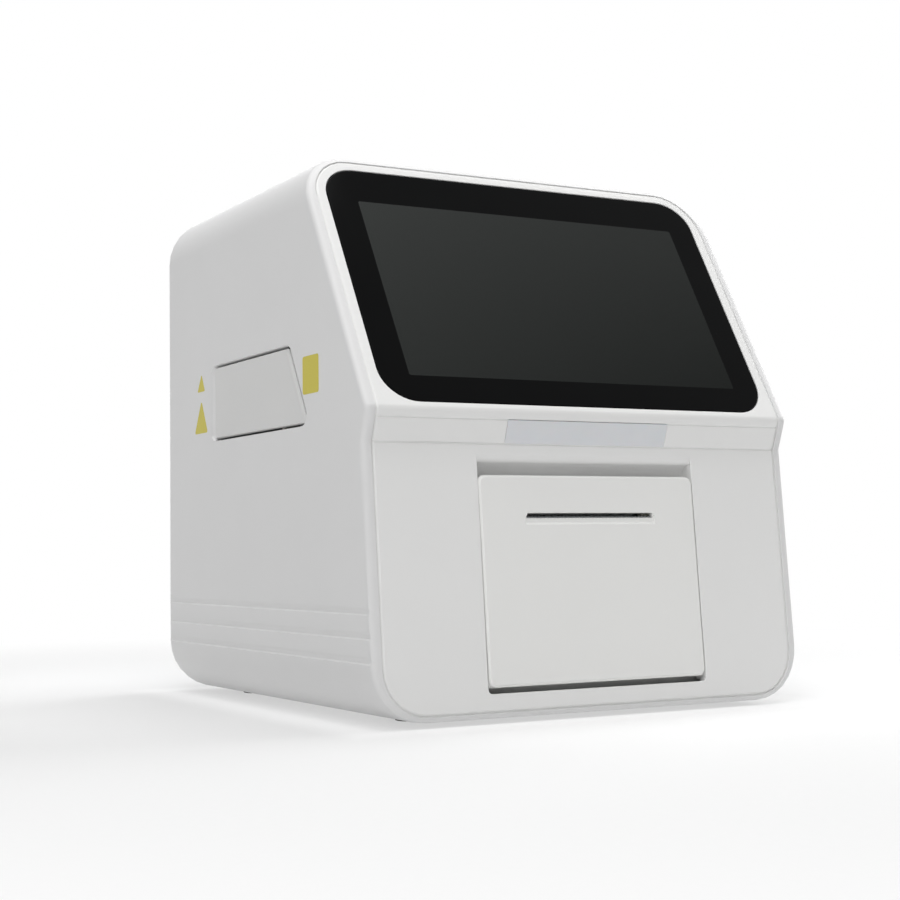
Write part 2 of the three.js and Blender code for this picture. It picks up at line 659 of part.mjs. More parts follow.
function frontY(z) {
  const [first, last] = [CHIN_ARC[0], CHIN_ARC.at(-1)];
  if (z <= BAND_BOTTOM) return lowerY(z);
  if (z <= first[1]) return bandY(z);
  if (z >= last[1]) return screenY(z);
  const i = CHIN_ARC.findIndex(([, height]) => height >= z);
  const [y0, z0] = CHIN_ARC[i - 1];
  const [y1, z1] = CHIN_ARC[i];
  return y0 + (y1 - y0) * (z - z0) / (z1 - z0);
}

// The bezel has a fine groove along each edge of the band
const GROOVES = [BAND_BOTTOM, BAND_TOP];
function bezelY(z) {
  const near = GROOVES.find((height) => Math.abs(z - height) < BAND_GROOVE_WIDTH / 2);
  if (near === undefined) return frontY(z);
  return frontY(z) + BAND_GROOVE_DEPTH * (1 - Math.abs(z - near) / (BAND_GROOVE_WIDTH / 2));
}
const CHIN_BREAKS = CHIN_ARC.map(([, z]) => z);
const SHELL_BREAKS = [BAND_BOTTOM, ...CHIN_BREAKS];
const BEZEL_BREAKS = [...GROOVES.flatMap((z) =>
  [z - BAND_GROOVE_WIDTH / 2, z, z + BAND_GROOVE_WIDTH / 2]), ...CHIN_BREAKS];

// The right half of the housing's outline, seen from the front, from the floor to the top
function halfOutline({ side, top, bottom, radius }, breaks) {
  const x = WIDTH / 2 - side - radius;
  const arc = (centreZ, from) => Array.from({ length: CORNER_STEPS + 1 }, (_, i) => {
    const angle = from + Math.PI / 2 * i / CORNER_STEPS;
    return [x + radius * Math.cos(angle), centreZ + radius * Math.sin(angle)];
  });
  return [
    ...arc(bottom + radius, -Math.PI / 2),
    ...breaks.map((z) => [x + radius, z]),
    ...arc(HEIGHT - top - radius, 0),
  ];
}

// Outlines of the housing at depths that follow the height, skinned from front to rear
function loft(rings, breaks, ...matrices) {
  const halves = rings.map(({ outline }) => halfOutline(outline, breaks));
  const half = halves[0].length;
  const count = 2 * half;
  const positions = halves.flatMap((points, r) => {
    const loop = [...points, ...points.map(([x, z]) => [-x, z]).reverse()];
    return loop.flatMap(([x, z]) => [x, rings[r].depth(z), z]);
  });
  const index = [];
  for (let r = 0; r < rings.length - 1; r++) {
    for (let i = 0; i < count; i++) {
      const a = r * count + i;
      const b = r * count + (i + 1) % count;
      index.push(a, b + count, b, a, a + count, b + count);
    }
  }
  const last = (rings.length - 1) * count;
  for (let k = 0; k < half - 1; k++) {
    const [r0, r1, l1, l0] = [k, k + 1, count - 2 - k, count - 1 - k];
    index.push(r0, r1, l1, r0, l1, l0);
    index.push(last + r0, last + l1, last + r1, last + r0, last + l0, last + l1);
  }
  return solid(geometryOf(positions, index), ...matrices);
}

const evenly = (amount) => (
  { side: amount, top: amount, bottom: amount, radius: CORNER_RADIUS - amount });
const SEAM = {
  side: SEAM_SIDE, top: SEAM_TOP, bottom: SEAM_BOTTOM, radius: CORNER_RADIUS - SEAM_SIDE };
const INSIDE = {
  side: SEAM_SIDE, top: TOP_WALL, bottom: FLOOR_WALL, radius: CORNER_RADIUS - SEAM_SIDE };
const within = (outline, amount) => ({
  side: outline.side + amount,
  top: outline.top + amount,
  bottom: outline.bottom + amount,
  radius: outline.radius - amount,
});

// Frames of the front's three planes: X across, Y into the unit, Z up along the plane
const LOWER = { origin: [0, lowerY(0), 0], angle: -LEAN };
const BAND = { origin: [0, BAND_Y, BAND_BOTTOM], angle: BAND_ANGLE };
const SCREEN = { origin: [0, CHIN_Y, CHIN_HEIGHT], angle: -SCREEN_SLOPE };
for (const plane of [LOWER, BAND, SCREEN]) {
  plane.matrix = move(...plane.origin).multiply(turnX(plane.angle));
}

// The scene: one group for the unit, standing on its feet, and one for each leaning plane
const reader = new THREE.Group();
const unit = new THREE.Group();
unit.position.z = FOOT_STAND;
reader.add(unit);
function planeGroup({ origin, angle }) {
  const group = new THREE.Group();
  group.position.set(...origin);
  group.rotation.x = angle;
  unit.add(group);
  return group;
}
const lowerGroup = planeGroup(LOWER);
const bandGroup = planeGroup(BAND);
const screenGroup = planeGroup(SCREEN);

function piece(name, shape, finish, group = unit, position = [0, 0, 0]) {
  const { vertProperties, triVerts } = shape.getMesh();
  const geometry = geometryOf(Array.from(vertProperties), Array.from(triVerts));
  const facets = geometry.toNonIndexed();
  facets.computeVertexNormals();
  const mesh = new THREE.Mesh(facets, finish);
  mesh.name = name;
  mesh.position.set(...position);
  group.add(mesh);
}

// Values that more than one piece shares
const HALF_WIDTH = WIDTH / 2;
const REAR_Y = DEPTH / 2;
const DOOR_MIDDLE = DOOR_BOTTOM + DOOR_HEIGHT / 2;
const OPENING_HALF = DOOR_WIDTH / 2 + DOOR_SIDE_GAP;
const OPENING_BOTTOM = DOOR_BOTTOM - DOOR_BOTTOM_GAP;
const RECESS_TOP = DOOR_TOP + RECESS_RISE;
const RECESS_FLOOR = DOOR_TOP - RECESS_ROOT;
const HINGE_HEIGHT = DOOR_BOTTOM + HINGE_RISE;
const PANEL_OUTER_Y = REAR_Y - REAR_WALL - GAP;
const PANEL_INNER_Y = PANEL_OUTER_Y - PANEL_THICKNESS;
const PANEL_MIDDLE_Z = (PANEL_BOTTOM + PANEL_TOP) / 2;
const PANEL_HEIGHT = PANEL_TOP - PANEL_BOTTOM;
const BASE_TOP = BASE_RISE + BASE_THICKNESS;
const BOARD_TOP = BASE_TOP + BOARD_RISE + BOARD_THICKNESS;
const DRAWER_BACK_X = -HALF_WIDTH + DRAWER_FRONT_THICKNESS;
const DRAWER_OUTLINE = [
  [-DRAWER_REAR, DRAWER_BOTTOM],
  [DRAWER_LENGTH - DRAWER_REAR, DRAWER_BOTTOM],
  [DRAWER_LENGTH - DRAWER_REAR - DRAWER_HEIGHT * Math.tan(SCREEN_SLOPE),
    DRAWER_BOTTOM + DRAWER_HEIGHT],
  [-DRAWER_REAR, DRAWER_BOTTOM + DRAWER_HEIGHT],
];
const TRAY_REAR_Y = DRAWER_REAR - TRAY_REAR_MARGIN;
const TRAY_FRONT_Y = TRAY_REAR_Y - TRAY_WIDTH;
const TRAY_MIDDLE_Y = (TRAY_FRONT_Y + TRAY_REAR_Y) / 2;
const TRAY_BOTTOM = DRAWER_BOTTOM + TRAY_RISE;
const TRAY_TOP = TRAY_BOTTOM + TRAY_THICKNESS;
const TRAY_X = DRAWER_BACK_X + GAP;
const NEST_XS = Array.from({ length: NEST_COUNT }, (_, i) =>
  TRAY_X + NEST_FIRST + NEST_PITCH * i);
const INNER_X = HALF_WIDTH - SEAM_SIDE;
const PANEL_SCREWS = [-1, 1].flatMap((side) => [-1, 1].map((level) => [
  side * (PANEL_WIDTH / 2 - PANEL_SCREW_INSET),
  PANEL_MIDDLE_Z + level * (PANEL_HEIGHT / 2 - PANEL_SCREW_INSET),
]));

// Outer shell: a bucket with its front open, cut off along the front face's fold
function outerShell() {
  const rings = [];
  for (let i = 0; i <= RIM_STEPS; i++) {
    const angle = Math.PI / 2 * i / RIM_STEPS;
    const back = RIM_RADIUS * (1 - Math.cos(angle));
    const amount = RIM_RADIUS * (1 - Math.sin(angle));
    rings.push({ outline: evenly(amount), depth: (z) => frontY(z) + back });
  }
  for (let i = 0; i <= REAR_STEPS; i++) {
    const angle = Math.PI / 2 * i / REAR_STEPS;
    const depth = REAR_Y - REAR_FILLET * (1 - Math.sin(angle));
    rings.push({ outline: evenly(REAR_FILLET * (1 - Math.cos(angle))), depth: () => depth });
  }
  const seatEnd = (z) => frontY(z) + BEZEL_DEPTH + GAP;
  const seat = loft([
    { outline: SEAM, depth: (z) => frontY(z) - OVERRUN },
    { outline: SEAM, depth: seatEnd },
  ], SHELL_BREAKS);
  const inside = loft([
    { outline: INSIDE, depth: (z) => seatEnd(z) - OVERRUN },
    { outline: INSIDE, depth: () => REAR_Y - REAR_WALL },
  ], SHELL_BREAKS);
  const rearOpening = plate(
    rectangle(PANEL_WIDTH - 2 * PANEL_LAP, PANEL_HEIGHT - 2 * PANEL_LAP, 0, PANEL_MIDDLE_Z),
    PANEL_RADIUS, [[0, -REAR_WALL - OVERRUN], [0, OVERRUN]], move(0, REAR_Y, 0), REARWARD);
  const bucket = cut(loft(rings, SHELL_BREAKS), seat, inside, rearOpening);
  const posts = [-1, 1].flatMap((side) => [BASE_POST_FRONT, BASE_POST_REAR].map((y) =>
    bar(BASE_POST_RADIUS, BASE_RISE - GAP - FLOOR_WALL / 2, SMALL_ROUND,
      move(side * BASE_POST_X, y, FLOOR_WALL / 2))));
  return cut(join(bucket, ...posts), ...drawerOpening(), ...sideGrooves(), ...footSeats(),
    ...panelScrewSeats());
}

function drawerOpening() {
  const gap = [-DRAWER_LEVEL_GAP, -DRAWER_SIDE_GAP, -DRAWER_LEVEL_GAP, -DRAWER_SIDE_GAP];
  const bevel = [-DRAWER_BEVEL_LEVEL, -DRAWER_BEVEL_WIDTH, -DRAWER_BEVEL_LEVEL,
    -DRAWER_BEVEL_WIDTH].map((amount, i) => amount + gap[i]);
  const over = bevel.map((amount, i) =>
    amount + (amount - gap[i]) * OVERRUN / DRAWER_BEVEL_DEPTH);
  return [
    plate(DRAWER_OUTLINE, DRAWER_RADIUS, [
      [gap, HALF_WIDTH - SEAM_SIDE - OVERRUN],
      [gap, HALF_WIDTH - DRAWER_BEVEL_DEPTH],
      [over, HALF_WIDTH + OVERRUN],
    ], LEFTWARD),
  ];
}

// Each groove runs out through the front rim, and dies away in the rear edge's fillet
function sideGrooves() {
  const half = GROOVE_WIDTH / 2;
  return GROOVE_HEIGHTS.flatMap((z) => [-1, 1].map((side) => {
    const x = side * HALF_WIDTH;
    const section = [
      [x - GROOVE_DEPTH, z + half - GROOVE_FALL], [x - GROOVE_DEPTH, z - half + GROOVE_RISE],
      [x, z - half], [x + OVERRUN, z - half],
      [x + OVERRUN, z + half], [x, z + half],
    ].map(([px, pz]) => [side * (px - x) + x, pz]);
    const outline = section.map(([px, pz]) => [-px, pz]);
    if (side > 0) outline.reverse();
    const shape = THREE.ShapeUtils.area(outline.map(([a, b]) => new THREE.Vector2(a, b))) > 0
      ? outline : [...outline].reverse();
    return raise(shape, frontY(0) - OVERRUN, REAR_Y - GROOVE_REAR_MARGIN, REARWARD);
  }));
}

const FOOT_PLACES = [
  ['foot_front_left', -FOOT_X, FOOT_FRONT], ['foot_front_right', FOOT_X, FOOT_FRONT],
  ['foot_rear_left', -FOOT_X, FOOT_REAR], ['foot_rear_right', FOOT_X, FOOT_REAR],
];
const footSeats = () => FOOT_PLACES.map(([, x, y]) =>
  bar(FOOT_RADIUS + GAP, FOOT_SEAT + OVERRUN, ROUND, move(x, y, -OVERRUN)));

const panelScrewSeats = () => PANEL_SCREWS.flatMap(([x, z]) => [
  bar(SCREW_HEAD_RADIUS + SCREW_PLAY, SCREW_SUNK + OVERRUN, SMALL_ROUND,
    move(x, REAR_Y - SCREW_SUNK, z), turnX(-Math.PI / 2)),
  bar(SCREW_RADIUS + SCREW_PLAY, REAR_WALL + 2 * OVERRUN, SMALL_ROUND,
    move(x, REAR_Y - REAR_WALL - OVERRUN, z), turnX(-Math.PI / 2)),
]);

// Front bezel: a shallow tray that follows the folded front, with its openings and seats
function frontBezel() {
  const edge = within(SEAM, GAP);
  const skin = loft([
    { outline: within(edge, BEZEL_EDGE), depth: bezelY },
    { outline: edge, depth: (z) => bezelY(z) + BEZEL_EDGE },
    { outline: edge, depth: (z) => frontY(z) + BEZEL_DEPTH },
  ], BEZEL_BREAKS);
  const hollow = loft([
    { outline: within(edge, BEZEL_RIB), depth: (z) => frontY(z) + BEZEL_WALL },
    { outline: within(edge, BEZEL_RIB), depth: (z) => frontY(z) + BEZEL_DEPTH + OVERRUN },
  ], BEZEL_BREAKS);
  const scoopBlock = block(
    [-OPENING_HALF - RECESS_BACK, OPENING_HALF + RECESS_BACK],
    [BEZEL_WALL - OVERRUN, RECESS_DEPTH + RECESS_BACK],
    [RECESS_FLOOR, RECESS_TOP + RECESS_BACK], LOWER.matrix);
  const body = join(cut(skin, hollow), scoopBlock, ...hingeBlocks(), ...displayPosts());
  return cut(body, doorOpening(), fingerRecess(), ...hingeHoles(), ...screenSeat(), barSlot());
}

// Its upper corners end inside the recess
function doorOpening() {
  const top = RECESS_FLOOR + OPENING_RADIUS;
  return plate(
    rectangle(2 * OPENING_HALF, top - OPENING_BOTTOM, 0, (top + OPENING_BOTTOM) / 2),
    OPENING_RADIUS, [[0, -RECESS_DEPTH - RECESS_BACK - OVERRUN], [0, OVERRUN]],
    LOWER.matrix, FORWARD);
}

// The recess is a side profile with a soft roll at its upper edge and a fillet at its back
function fingerRecess() {
  const quarter = (depth, height, radius, from, to) =>
    Array.from({ length: RECESS_STEPS + 1 }, (_, i) => {
      const angle = from + (to - from) * i / RECESS_STEPS;
      return [depth + radius * Math.cos(angle), height + radius * Math.sin(angle)];
    });
  const profile = [
    [-OVERRUN, RECESS_FLOOR],
    [RECESS_DEPTH, RECESS_FLOOR],
    ...quarter(RECESS_DEPTH - RECESS_FILLET, RECESS_TOP - RECESS_FILLET, RECESS_FILLET,
      0, Math.PI / 2),
    ...quarter(RECESS_ROLL, RECESS_TOP + RECESS_ROLL, RECESS_ROLL, -Math.PI / 2, -Math.PI),
    [-OVERRUN, RECESS_TOP + RECESS_ROLL],
  ];
  return raise(profile, -OPENING_HALF, OPENING_HALF, LOWER.matrix, SIDEWAYS);
}

const hingeBlocks = () => [-1, 1].map((side) => {
  const ends = [OPENING_HALF, OPENING_HALF + HINGE_BLOCK_WIDTH].map((x) => side * x);
  return block(ends.sort((a, b) => a - b), [BEZEL_WALL - OVERRUN, BEZEL_WALL + HINGE_BLOCK_DEPTH],
    [HINGE_HEIGHT - HINGE_BLOCK_HEIGHT / 2, HINGE_HEIGHT + HINGE_BLOCK_HEIGHT / 2],
    LOWER.matrix);
});

const hingeHoles = () => [-1, 1].map((side) => {
  const length = HINGE_PIN_REACH + GAP + OVERRUN;
  const start = side > 0 ? OPENING_HALF - OVERRUN : -OPENING_HALF + OVERRUN - length;
  return bar(HINGE_PIN_RADIUS + HINGE_PIN_GAP, length, SMALL_ROUND,
    LOWER.matrix, move(start, HINGE_DEPTH, HINGE_HEIGHT), SIDEWAYS);
});

// Depth of the bezel's wall, square to the screen's plane
const SCREEN_WALL = BEZEL_WALL * Math.cos(SCREEN_SLOPE);
const GLASS_MIDDLE = GLASS_FROM_CHIN + GLASS_HEIGHT / 2;
const VIEW_MIDDLE = VIEW_FROM_CHIN + VIEW_HEIGHT / 2;
const DISPLAY_FRONT = SCREEN_WALL + GAP;
const DISPLAY_BACK = DISPLAY_FRONT + DISPLAY_THICKNESS;
const DISPLAY_POSTS = [-1, 1].flatMap((side) => [-1, 1].map((level) => [
  side * (GLASS_WIDTH / 2 - DISPLAY_POST_FROM_EDGE),
  VIEW_MIDDLE + level * (BRACKET_HEIGHT / 2 - DISPLAY_POST_FROM_EDGE),
]));

const screenSeat = () => [
  plate(rectangle(GLASS_WIDTH + 2 * GAP, GLASS_HEIGHT + 2 * GAP, 0, GLASS_MIDDLE),
    GLASS_RADIUS + GAP, [[0, -GLASS_THICKNESS - GAP], [0, OVERRUN]], SCREEN.matrix, FORWARD),
  block([-VIEW_WIDTH / 2 - WINDOW_MARGIN, VIEW_WIDTH / 2 + WINDOW_MARGIN], [0, DISPLAY_FRONT],
    [VIEW_FROM_CHIN - WINDOW_MARGIN, VIEW_FROM_CHIN + VIEW_HEIGHT + WINDOW_MARGIN],
    SCREEN.matrix),
];

const displayPosts = () => DISPLAY_POSTS.map(([x, z]) =>
  bar(DISPLAY_POST_RADIUS, DISPLAY_BACK - SCREEN_WALL / 2, SMALL_ROUND,
    SCREEN.matrix, move(x, SCREEN_WALL / 2, z), turnX(-Math.PI / 2)));

// The light bar fills the band from groove to groove
const BAR_LOW = BAND_GROOVE_WIDTH / 2;
const BAR_HIGH = (BAND_TOP - BAND_BOTTOM) / Math.cos(BAND_ANGLE) - BAND_GROOVE_WIDTH / 2;
const BAR_MIDDLE = (BAR_LOW + BAR_HIGH) / 2;
const BAR_BACK = BEZEL_WALL * Math.cos(BAND_ANGLE) + GAP;
const barSlot = () => plate(
  rectangle(BAR_WIDTH + 2 * GAP, BAR_HIGH - BAR_LOW + 2 * GAP, 0, BAR_MIDDLE),
  BAR_END_RADIUS + GAP, [[0, -BAR_BACK - OVERRUN], [0, OVERRUN]], BAND.matrix, FORWARD);

function lightBar() {
  const face = rectangle(BAR_WIDTH, BAR_HIGH - BAR_LOW, 0, BAR_MIDDLE);
  const flange = rectangle(BAR_WIDTH + 2 * BAR_FLANGE, BAR_HIGH - BAR_LOW, 0, BAR_MIDDLE);
  return join(
    plate(face, BAR_END_RADIUS, [[0, -BAR_BACK - BAR_FLANGE_THICKNESS / 2], [0, 0]], FORWARD),
    plate(flange, BAR_END_RADIUS,
      [[0, -BAR_BACK - BAR_FLANGE_THICKNESS], [0, -BAR_BACK]], FORWARD));
}

function ledBoard() {
  const ledFront = BAR_BACK + BAR_FLANGE_THICKNESS + GAP;
  const front = ledFront + LED_RISE;
  const low = BAR_LOW - LED_BOARD_MARGIN;
  const board = block([-BAR_WIDTH / 2, BAR_WIDTH / 2], [front, front + LED_BOARD_THICKNESS],
    [low, BAR_HIGH]);
  const leds = Array.from({ length: LED_COUNT }, (_, i) => {
    const x = BAR_WIDTH * ((i + 0.5) / LED_COUNT - 0.5);
    return block([x - LED_SIZE / 2, x + LED_SIZE / 2],
      [ledFront, front + LED_BOARD_THICKNESS / 2],
      [BAR_MIDDLE - LED_SIZE / 2, BAR_MIDDLE + LED_SIZE / 2]);
  });
  return join(board, ...leds);
}

// Touch glass, display and the bracket that clamps it
const touchGlass = () => plate(rectangle(GLASS_WIDTH, GLASS_HEIGHT, 0, GLASS_MIDDLE),
  GLASS_RADIUS, [[0, -GLASS_THICKNESS], [0, -GLASS_EDGE], [GLASS_EDGE, 0]], FORWARD);

function displayModule() {
  const width = VIEW_WIDTH + 2 * DISPLAY_BORDER_SIDE;
  const height = VIEW_HEIGHT + 2 * DISPLAY_BORDER_END;
  const body = plate(rectangle(width, height, 0, VIEW_MIDDLE), BAR_END_RADIUS,
    [[0, -DISPLAY_BACK], [0, -DISPLAY_FRONT]], FORWARD);
  const face = plate(rectangle(VIEW_WIDTH, VIEW_HEIGHT, 0, VIEW_MIDDLE), BAR_END_RADIUS,
    [[0, -DISPLAY_FRONT - GAP], [0, -GLASS_THICKNESS - GAP]], FORWARD);
  return join(body, face);
}

function displayBracket() {
  const front = DISPLAY_BACK + GAP;
  const halfWidth = GLASS_WIDTH / 2;
  const sheet = block([-halfWidth, halfWidth], [front, front + BRACKET_THICKNESS],
    [VIEW_MIDDLE - BRACKET_HEIGHT / 2, VIEW_MIDDLE + BRACKET_HEIGHT / 2]);
  const window = block([-BRACKET_WINDOW_WIDTH / 2, BRACKET_WINDOW_WIDTH / 2],
    [front - OVERRUN, front + BRACKET_THICKNESS + OVERRUN],
    [VIEW_MIDDLE - BRACKET_WINDOW_HEIGHT / 2, VIEW_MIDDLE + BRACKET_WINDOW_HEIGHT / 2]);
  return cut(sheet, window);
}

// Printer door: a plate with a ribbed back, hinge bosses, roller arms and the paper slot
const ARM_INNER = PLATEN_WIDTH / 2 + PLATEN_ARM_GAP;
const ARM_OUTER = ARM_INNER + PLATEN_ARM;
const DOOR_BACK = DOOR_SKIN - DOOR_PROUD;

function printerDoor() {
  const face = rectangle(DOOR_WIDTH, DOOR_HEIGHT, 0, DOOR_MIDDLE);
  const skin = plate(face, DOOR_RADIUS,
    [[0, -DOOR_BACK], [0, DOOR_PROUD - DOOR_EDGE], [DOOR_EDGE, DOOR_PROUD]], FORWARD);
  const ribX = DOOR_WIDTH / 2 - DOOR_RIB_INSET;
  const ribLevels = [DOOR_BOTTOM + DOOR_RIB_INSET, DOOR_TOP - DOOR_LIP];
  const ribY = [DOOR_BACK - DOOR_SKIN / 2, DOOR_BACK + DOOR_RIB_DEPTH];
  const sideRibs = [-1, 1].map((side) => block(
    [side * ribX - DOOR_RIB / 2, side * ribX + DOOR_RIB / 2], ribY, ribLevels));
  const crossRibs = [ribLevels[0], ribLevels[1] - DOOR_RIB].map((z) =>
    block([-ribX, ribX], ribY, [z, z + DOOR_RIB]));
  const bosses = [-1, 1].map((side) => {
    const from = side > 0 ? DOOR_WIDTH / 2 - HINGE_BOSS_LENGTH : -DOOR_WIDTH / 2;
    return bar(HINGE_BOSS_RADIUS, HINGE_BOSS_LENGTH, SMALL_ROUND,
      move(from, HINGE_DEPTH, HINGE_HEIGHT), SIDEWAYS);
  });
  const bores = [-1, 1].map((side) => {
    const length = HINGE_BOSS_LENGTH - DOOR_RIB + OVERRUN;
    const from = side > 0 ? DOOR_WIDTH / 2 + OVERRUN - length : -DOOR_WIDTH / 2 - OVERRUN;
    return bar(HINGE_PIN_RADIUS + HINGE_PIN_GAP, length, SMALL_ROUND,
      move(from, HINGE_DEPTH, HINGE_HEIGHT), SIDEWAYS);
  });
  const body = join(skin, ...sideRibs, ...crossRibs, ...bosses, ...rollerArms());
  return cut(body, ...bores, ...paperSlot(), ...armBores());
}

function rollerArms() {
  const root = [[DOOR_BACK - DOOR_SKIN / 2, PLATEN_HEIGHT - PLATEN_ARM_DROP],
    [DOOR_BACK, PLATEN_HEIGHT - PLATEN_ARM_DROP],
    [PLATEN_DEPTH, PLATEN_HEIGHT - PLATEN_ARM_BOSS],
    [PLATEN_DEPTH, PLATEN_HEIGHT + PLATEN_ARM_BOSS],
    [DOOR_BACK - DOOR_SKIN / 2, PLATEN_HEIGHT + PLATEN_ARM_BOSS]];
  return [-1, 1].flatMap((side) => {
    const from = side > 0 ? ARM_INNER : -ARM_OUTER;
    return [
      raise(root, from, from + PLATEN_ARM, SIDEWAYS),
      bar(PLATEN_ARM_BOSS, PLATEN_ARM, ROUND, move(from, PLATEN_DEPTH, PLATEN_HEIGHT), SIDEWAYS),
    ];
  });
}

const armBores = () => [-1, 1].map((side) => {
  const from = side > 0 ? ARM_INNER : -ARM_OUTER;
  return bar(PLATEN_SHAFT_RADIUS + PLATEN_SHAFT_PLAY, PLATEN_ARM + 2 * OVERRUN, SMALL_ROUND,
    move(from - OVERRUN, PLATEN_DEPTH, PLATEN_HEIGHT), SIDEWAYS);
});

const SLOT_BOTTOM = SLOT_HEIGHT_AT - SLOT_HEIGHT / 2;
const SLOT_TOP = SLOT_HEIGHT_AT + SLOT_HEIGHT / 2;
const TEAR_BAR_FRONT = TEAR_BAR_DEPTH - DOOR_PROUD;
const TEAR_BAR_TOP = SLOT_BOTTOM + TOOTH_HEIGHT;
const paperSlot = () => [
  block([-SLOT_WIDTH / 2, SLOT_WIDTH / 2], [-DOOR_PROUD - OVERRUN, DOOR_BACK + OVERRUN],
    [SLOT_BOTTOM, SLOT_TOP]),
  raise([
    [-DOOR_PROUD - OVERRUN, SLOT_BOTTOM - LEDGE_HEIGHT],
    [-DOOR_PROUD, SLOT_BOTTOM - LEDGE_HEIGHT],
    [LEDGE_DEPTH - DOOR_PROUD, SLOT_BOTTOM - LEDGE_HEIGHT + LEDGE_SLOPE],
    [LEDGE_DEPTH - DOOR_PROUD, SLOT_BOTTOM + SLOT_HEIGHT / 2],
    [-DOOR_PROUD - OVERRUN, SLOT_BOTTOM + SLOT_HEIGHT / 2],
  ], -SLOT_WIDTH / 2 - LEDGE_MARGIN, SLOT_WIDTH / 2 + LEDGE_MARGIN, SIDEWAYS),
  block([-SLOT_WIDTH / 2, SLOT_WIDTH / 2], [TEAR_BAR_FRONT - GAP, DOOR_BACK + OVERRUN],
    [TEAR_BAR_TOP - TEAR_BAR_HEIGHT - GAP, SLOT_TOP]),
];

function tearBar() {
  const half = SLOT_WIDTH / 2 - GAP;
  const count = Math.floor(2 * half / TOOTH_PITCH);
  const pitch = 2 * half / count;
  const teeth = Array.from({ length: count }, (_, i) => [
    [half - pitch * i, TEAR_BAR_TOP - TOOTH_HEIGHT],
    [half - pitch * (i + 0.5), TEAR_BAR_TOP],
  ]).flat();
  const outline = [
    [-half, TEAR_BAR_TOP - TEAR_BAR_HEIGHT], [half, TEAR_BAR_TOP - TEAR_BAR_HEIGHT],
    ...teeth, [-half, TEAR_BAR_TOP - TOOTH_HEIGHT],
  ];
  return raise(outline, -TEAR_BAR_FRONT - TEAR_BAR_THICKNESS, -TEAR_BAR_FRONT, FORWARD);
}

const hingePin = (side) => {
  const length = HINGE_PIN_REACH + DOOR_SIDE_GAP + HINGE_BOSS_LENGTH - DOOR_RIB - GAP;
  const outer = OPENING_HALF + HINGE_PIN_REACH;
  const from = side > 0 ? outer - length : -outer;
  return bar(HINGE_PIN_RADIUS, length, SMALL_ROUND,
    move(from, HINGE_DEPTH, HINGE_HEIGHT), SIDEWAYS);
};

// Gear wheels with involute flanks between their root, pitch and tip circles
const involute = (angle) => Math.tan(angle) - angle;
function gearOutline(teeth, module, backlash) {
  const pitch = module * teeth / 2;
  const base = pitch * Math.cos(PRESSURE_ANGLE);
  const radii = [pitch - module * DEDENDUM_SHARE, pitch, pitch + module * ADDENDUM_SHARE];
  const halfAt = (radius) => Math.PI / (2 * teeth) - backlash / (4 * pitch)
    + involute(PRESSURE_ANGLE) - involute(Math.acos(Math.min(1, base / radius)));
  return Array.from({ length: teeth }, (_, i) => {
    const middle = 2 * Math.PI * i / teeth;
    const rise = radii.map((radius) => [radius, middle - halfAt(radius)]);
    const fall = [...radii].reverse().map((radius) => [radius, middle + halfAt(radius)]);
    return [...rise, ...fall];
  }).flat().map(([radius, angle]) => [radius * Math.cos(angle), radius * Math.sin(angle)]);
}

function gearWheel(teeth, module, backlash, width, bore, ...matrices) {
  const wheel = raise(gearOutline(teeth, module, backlash), 0, width, ...matrices);
  return cut(wheel, bar(bore, width + 2 * OVERRUN, SMALL_ROUND, ...matrices,
    move(0, 0, -OVERRUN)));
}

// Platen roller, its shaft and gear. The gear's first tooth points at the motor's pinion.
const PLATEN_AXIS = [PLATEN_DEPTH, PLATEN_HEIGHT];
const GEAR_X = ARM_OUTER + PRINTER_GEAR_GAP;
const SHAFT_END = GEAR_X + PRINTER_GEAR_WIDTH;
const platenRoller = () => cut(
  bar(PLATEN_RADIUS, PLATEN_WIDTH, ROUND, move(-PLATEN_WIDTH / 2, ...PLATEN_AXIS), SIDEWAYS),
  bar(PLATEN_SHAFT_RADIUS + GAP, PLATEN_WIDTH + 2 * OVERRUN, SMALL_ROUND,
    move(-PLATEN_WIDTH / 2 - OVERRUN, ...PLATEN_AXIS), SIDEWAYS));
const platenShaft = () => bar(PLATEN_SHAFT_RADIUS, SHAFT_END + ARM_OUTER + GAP, SMALL_ROUND,
  move(-ARM_OUTER - GAP, ...PLATEN_AXIS), SIDEWAYS);
const platenGear = () => gearWheel(PLATEN_TEETH, PRINTER_MODULE, PRINTER_BACKLASH,
  PRINTER_GEAR_WIDTH, PLATEN_SHAFT_RADIUS + BORE_PLAY,
  move(GEAR_X, ...PLATEN_AXIS), SIDEWAYS, turnZ(PINION_ANGLE));

const PRINTER_CENTRES = PRINTER_MODULE * (PLATEN_TEETH + MOTOR_TEETH) / 2 + CENTRE_PLAY;
const PINION_AXIS = [
  PLATEN_DEPTH + PRINTER_CENTRES * Math.cos(PINION_ANGLE),
  PLATEN_HEIGHT + PRINTER_CENTRES * Math.sin(PINION_ANGLE),
];
const motorPinion = () => gearWheel(MOTOR_TEETH, PRINTER_MODULE, PRINTER_BACKLASH,
  PRINTER_GEAR_WIDTH, PRINTER_MOTOR_SHAFT + BORE_PLAY, move(GEAR_X, ...PINION_AXIS),
  SIDEWAYS, turnZ(PINION_ANGLE + Math.PI + Math.PI / MOTOR_TEETH));

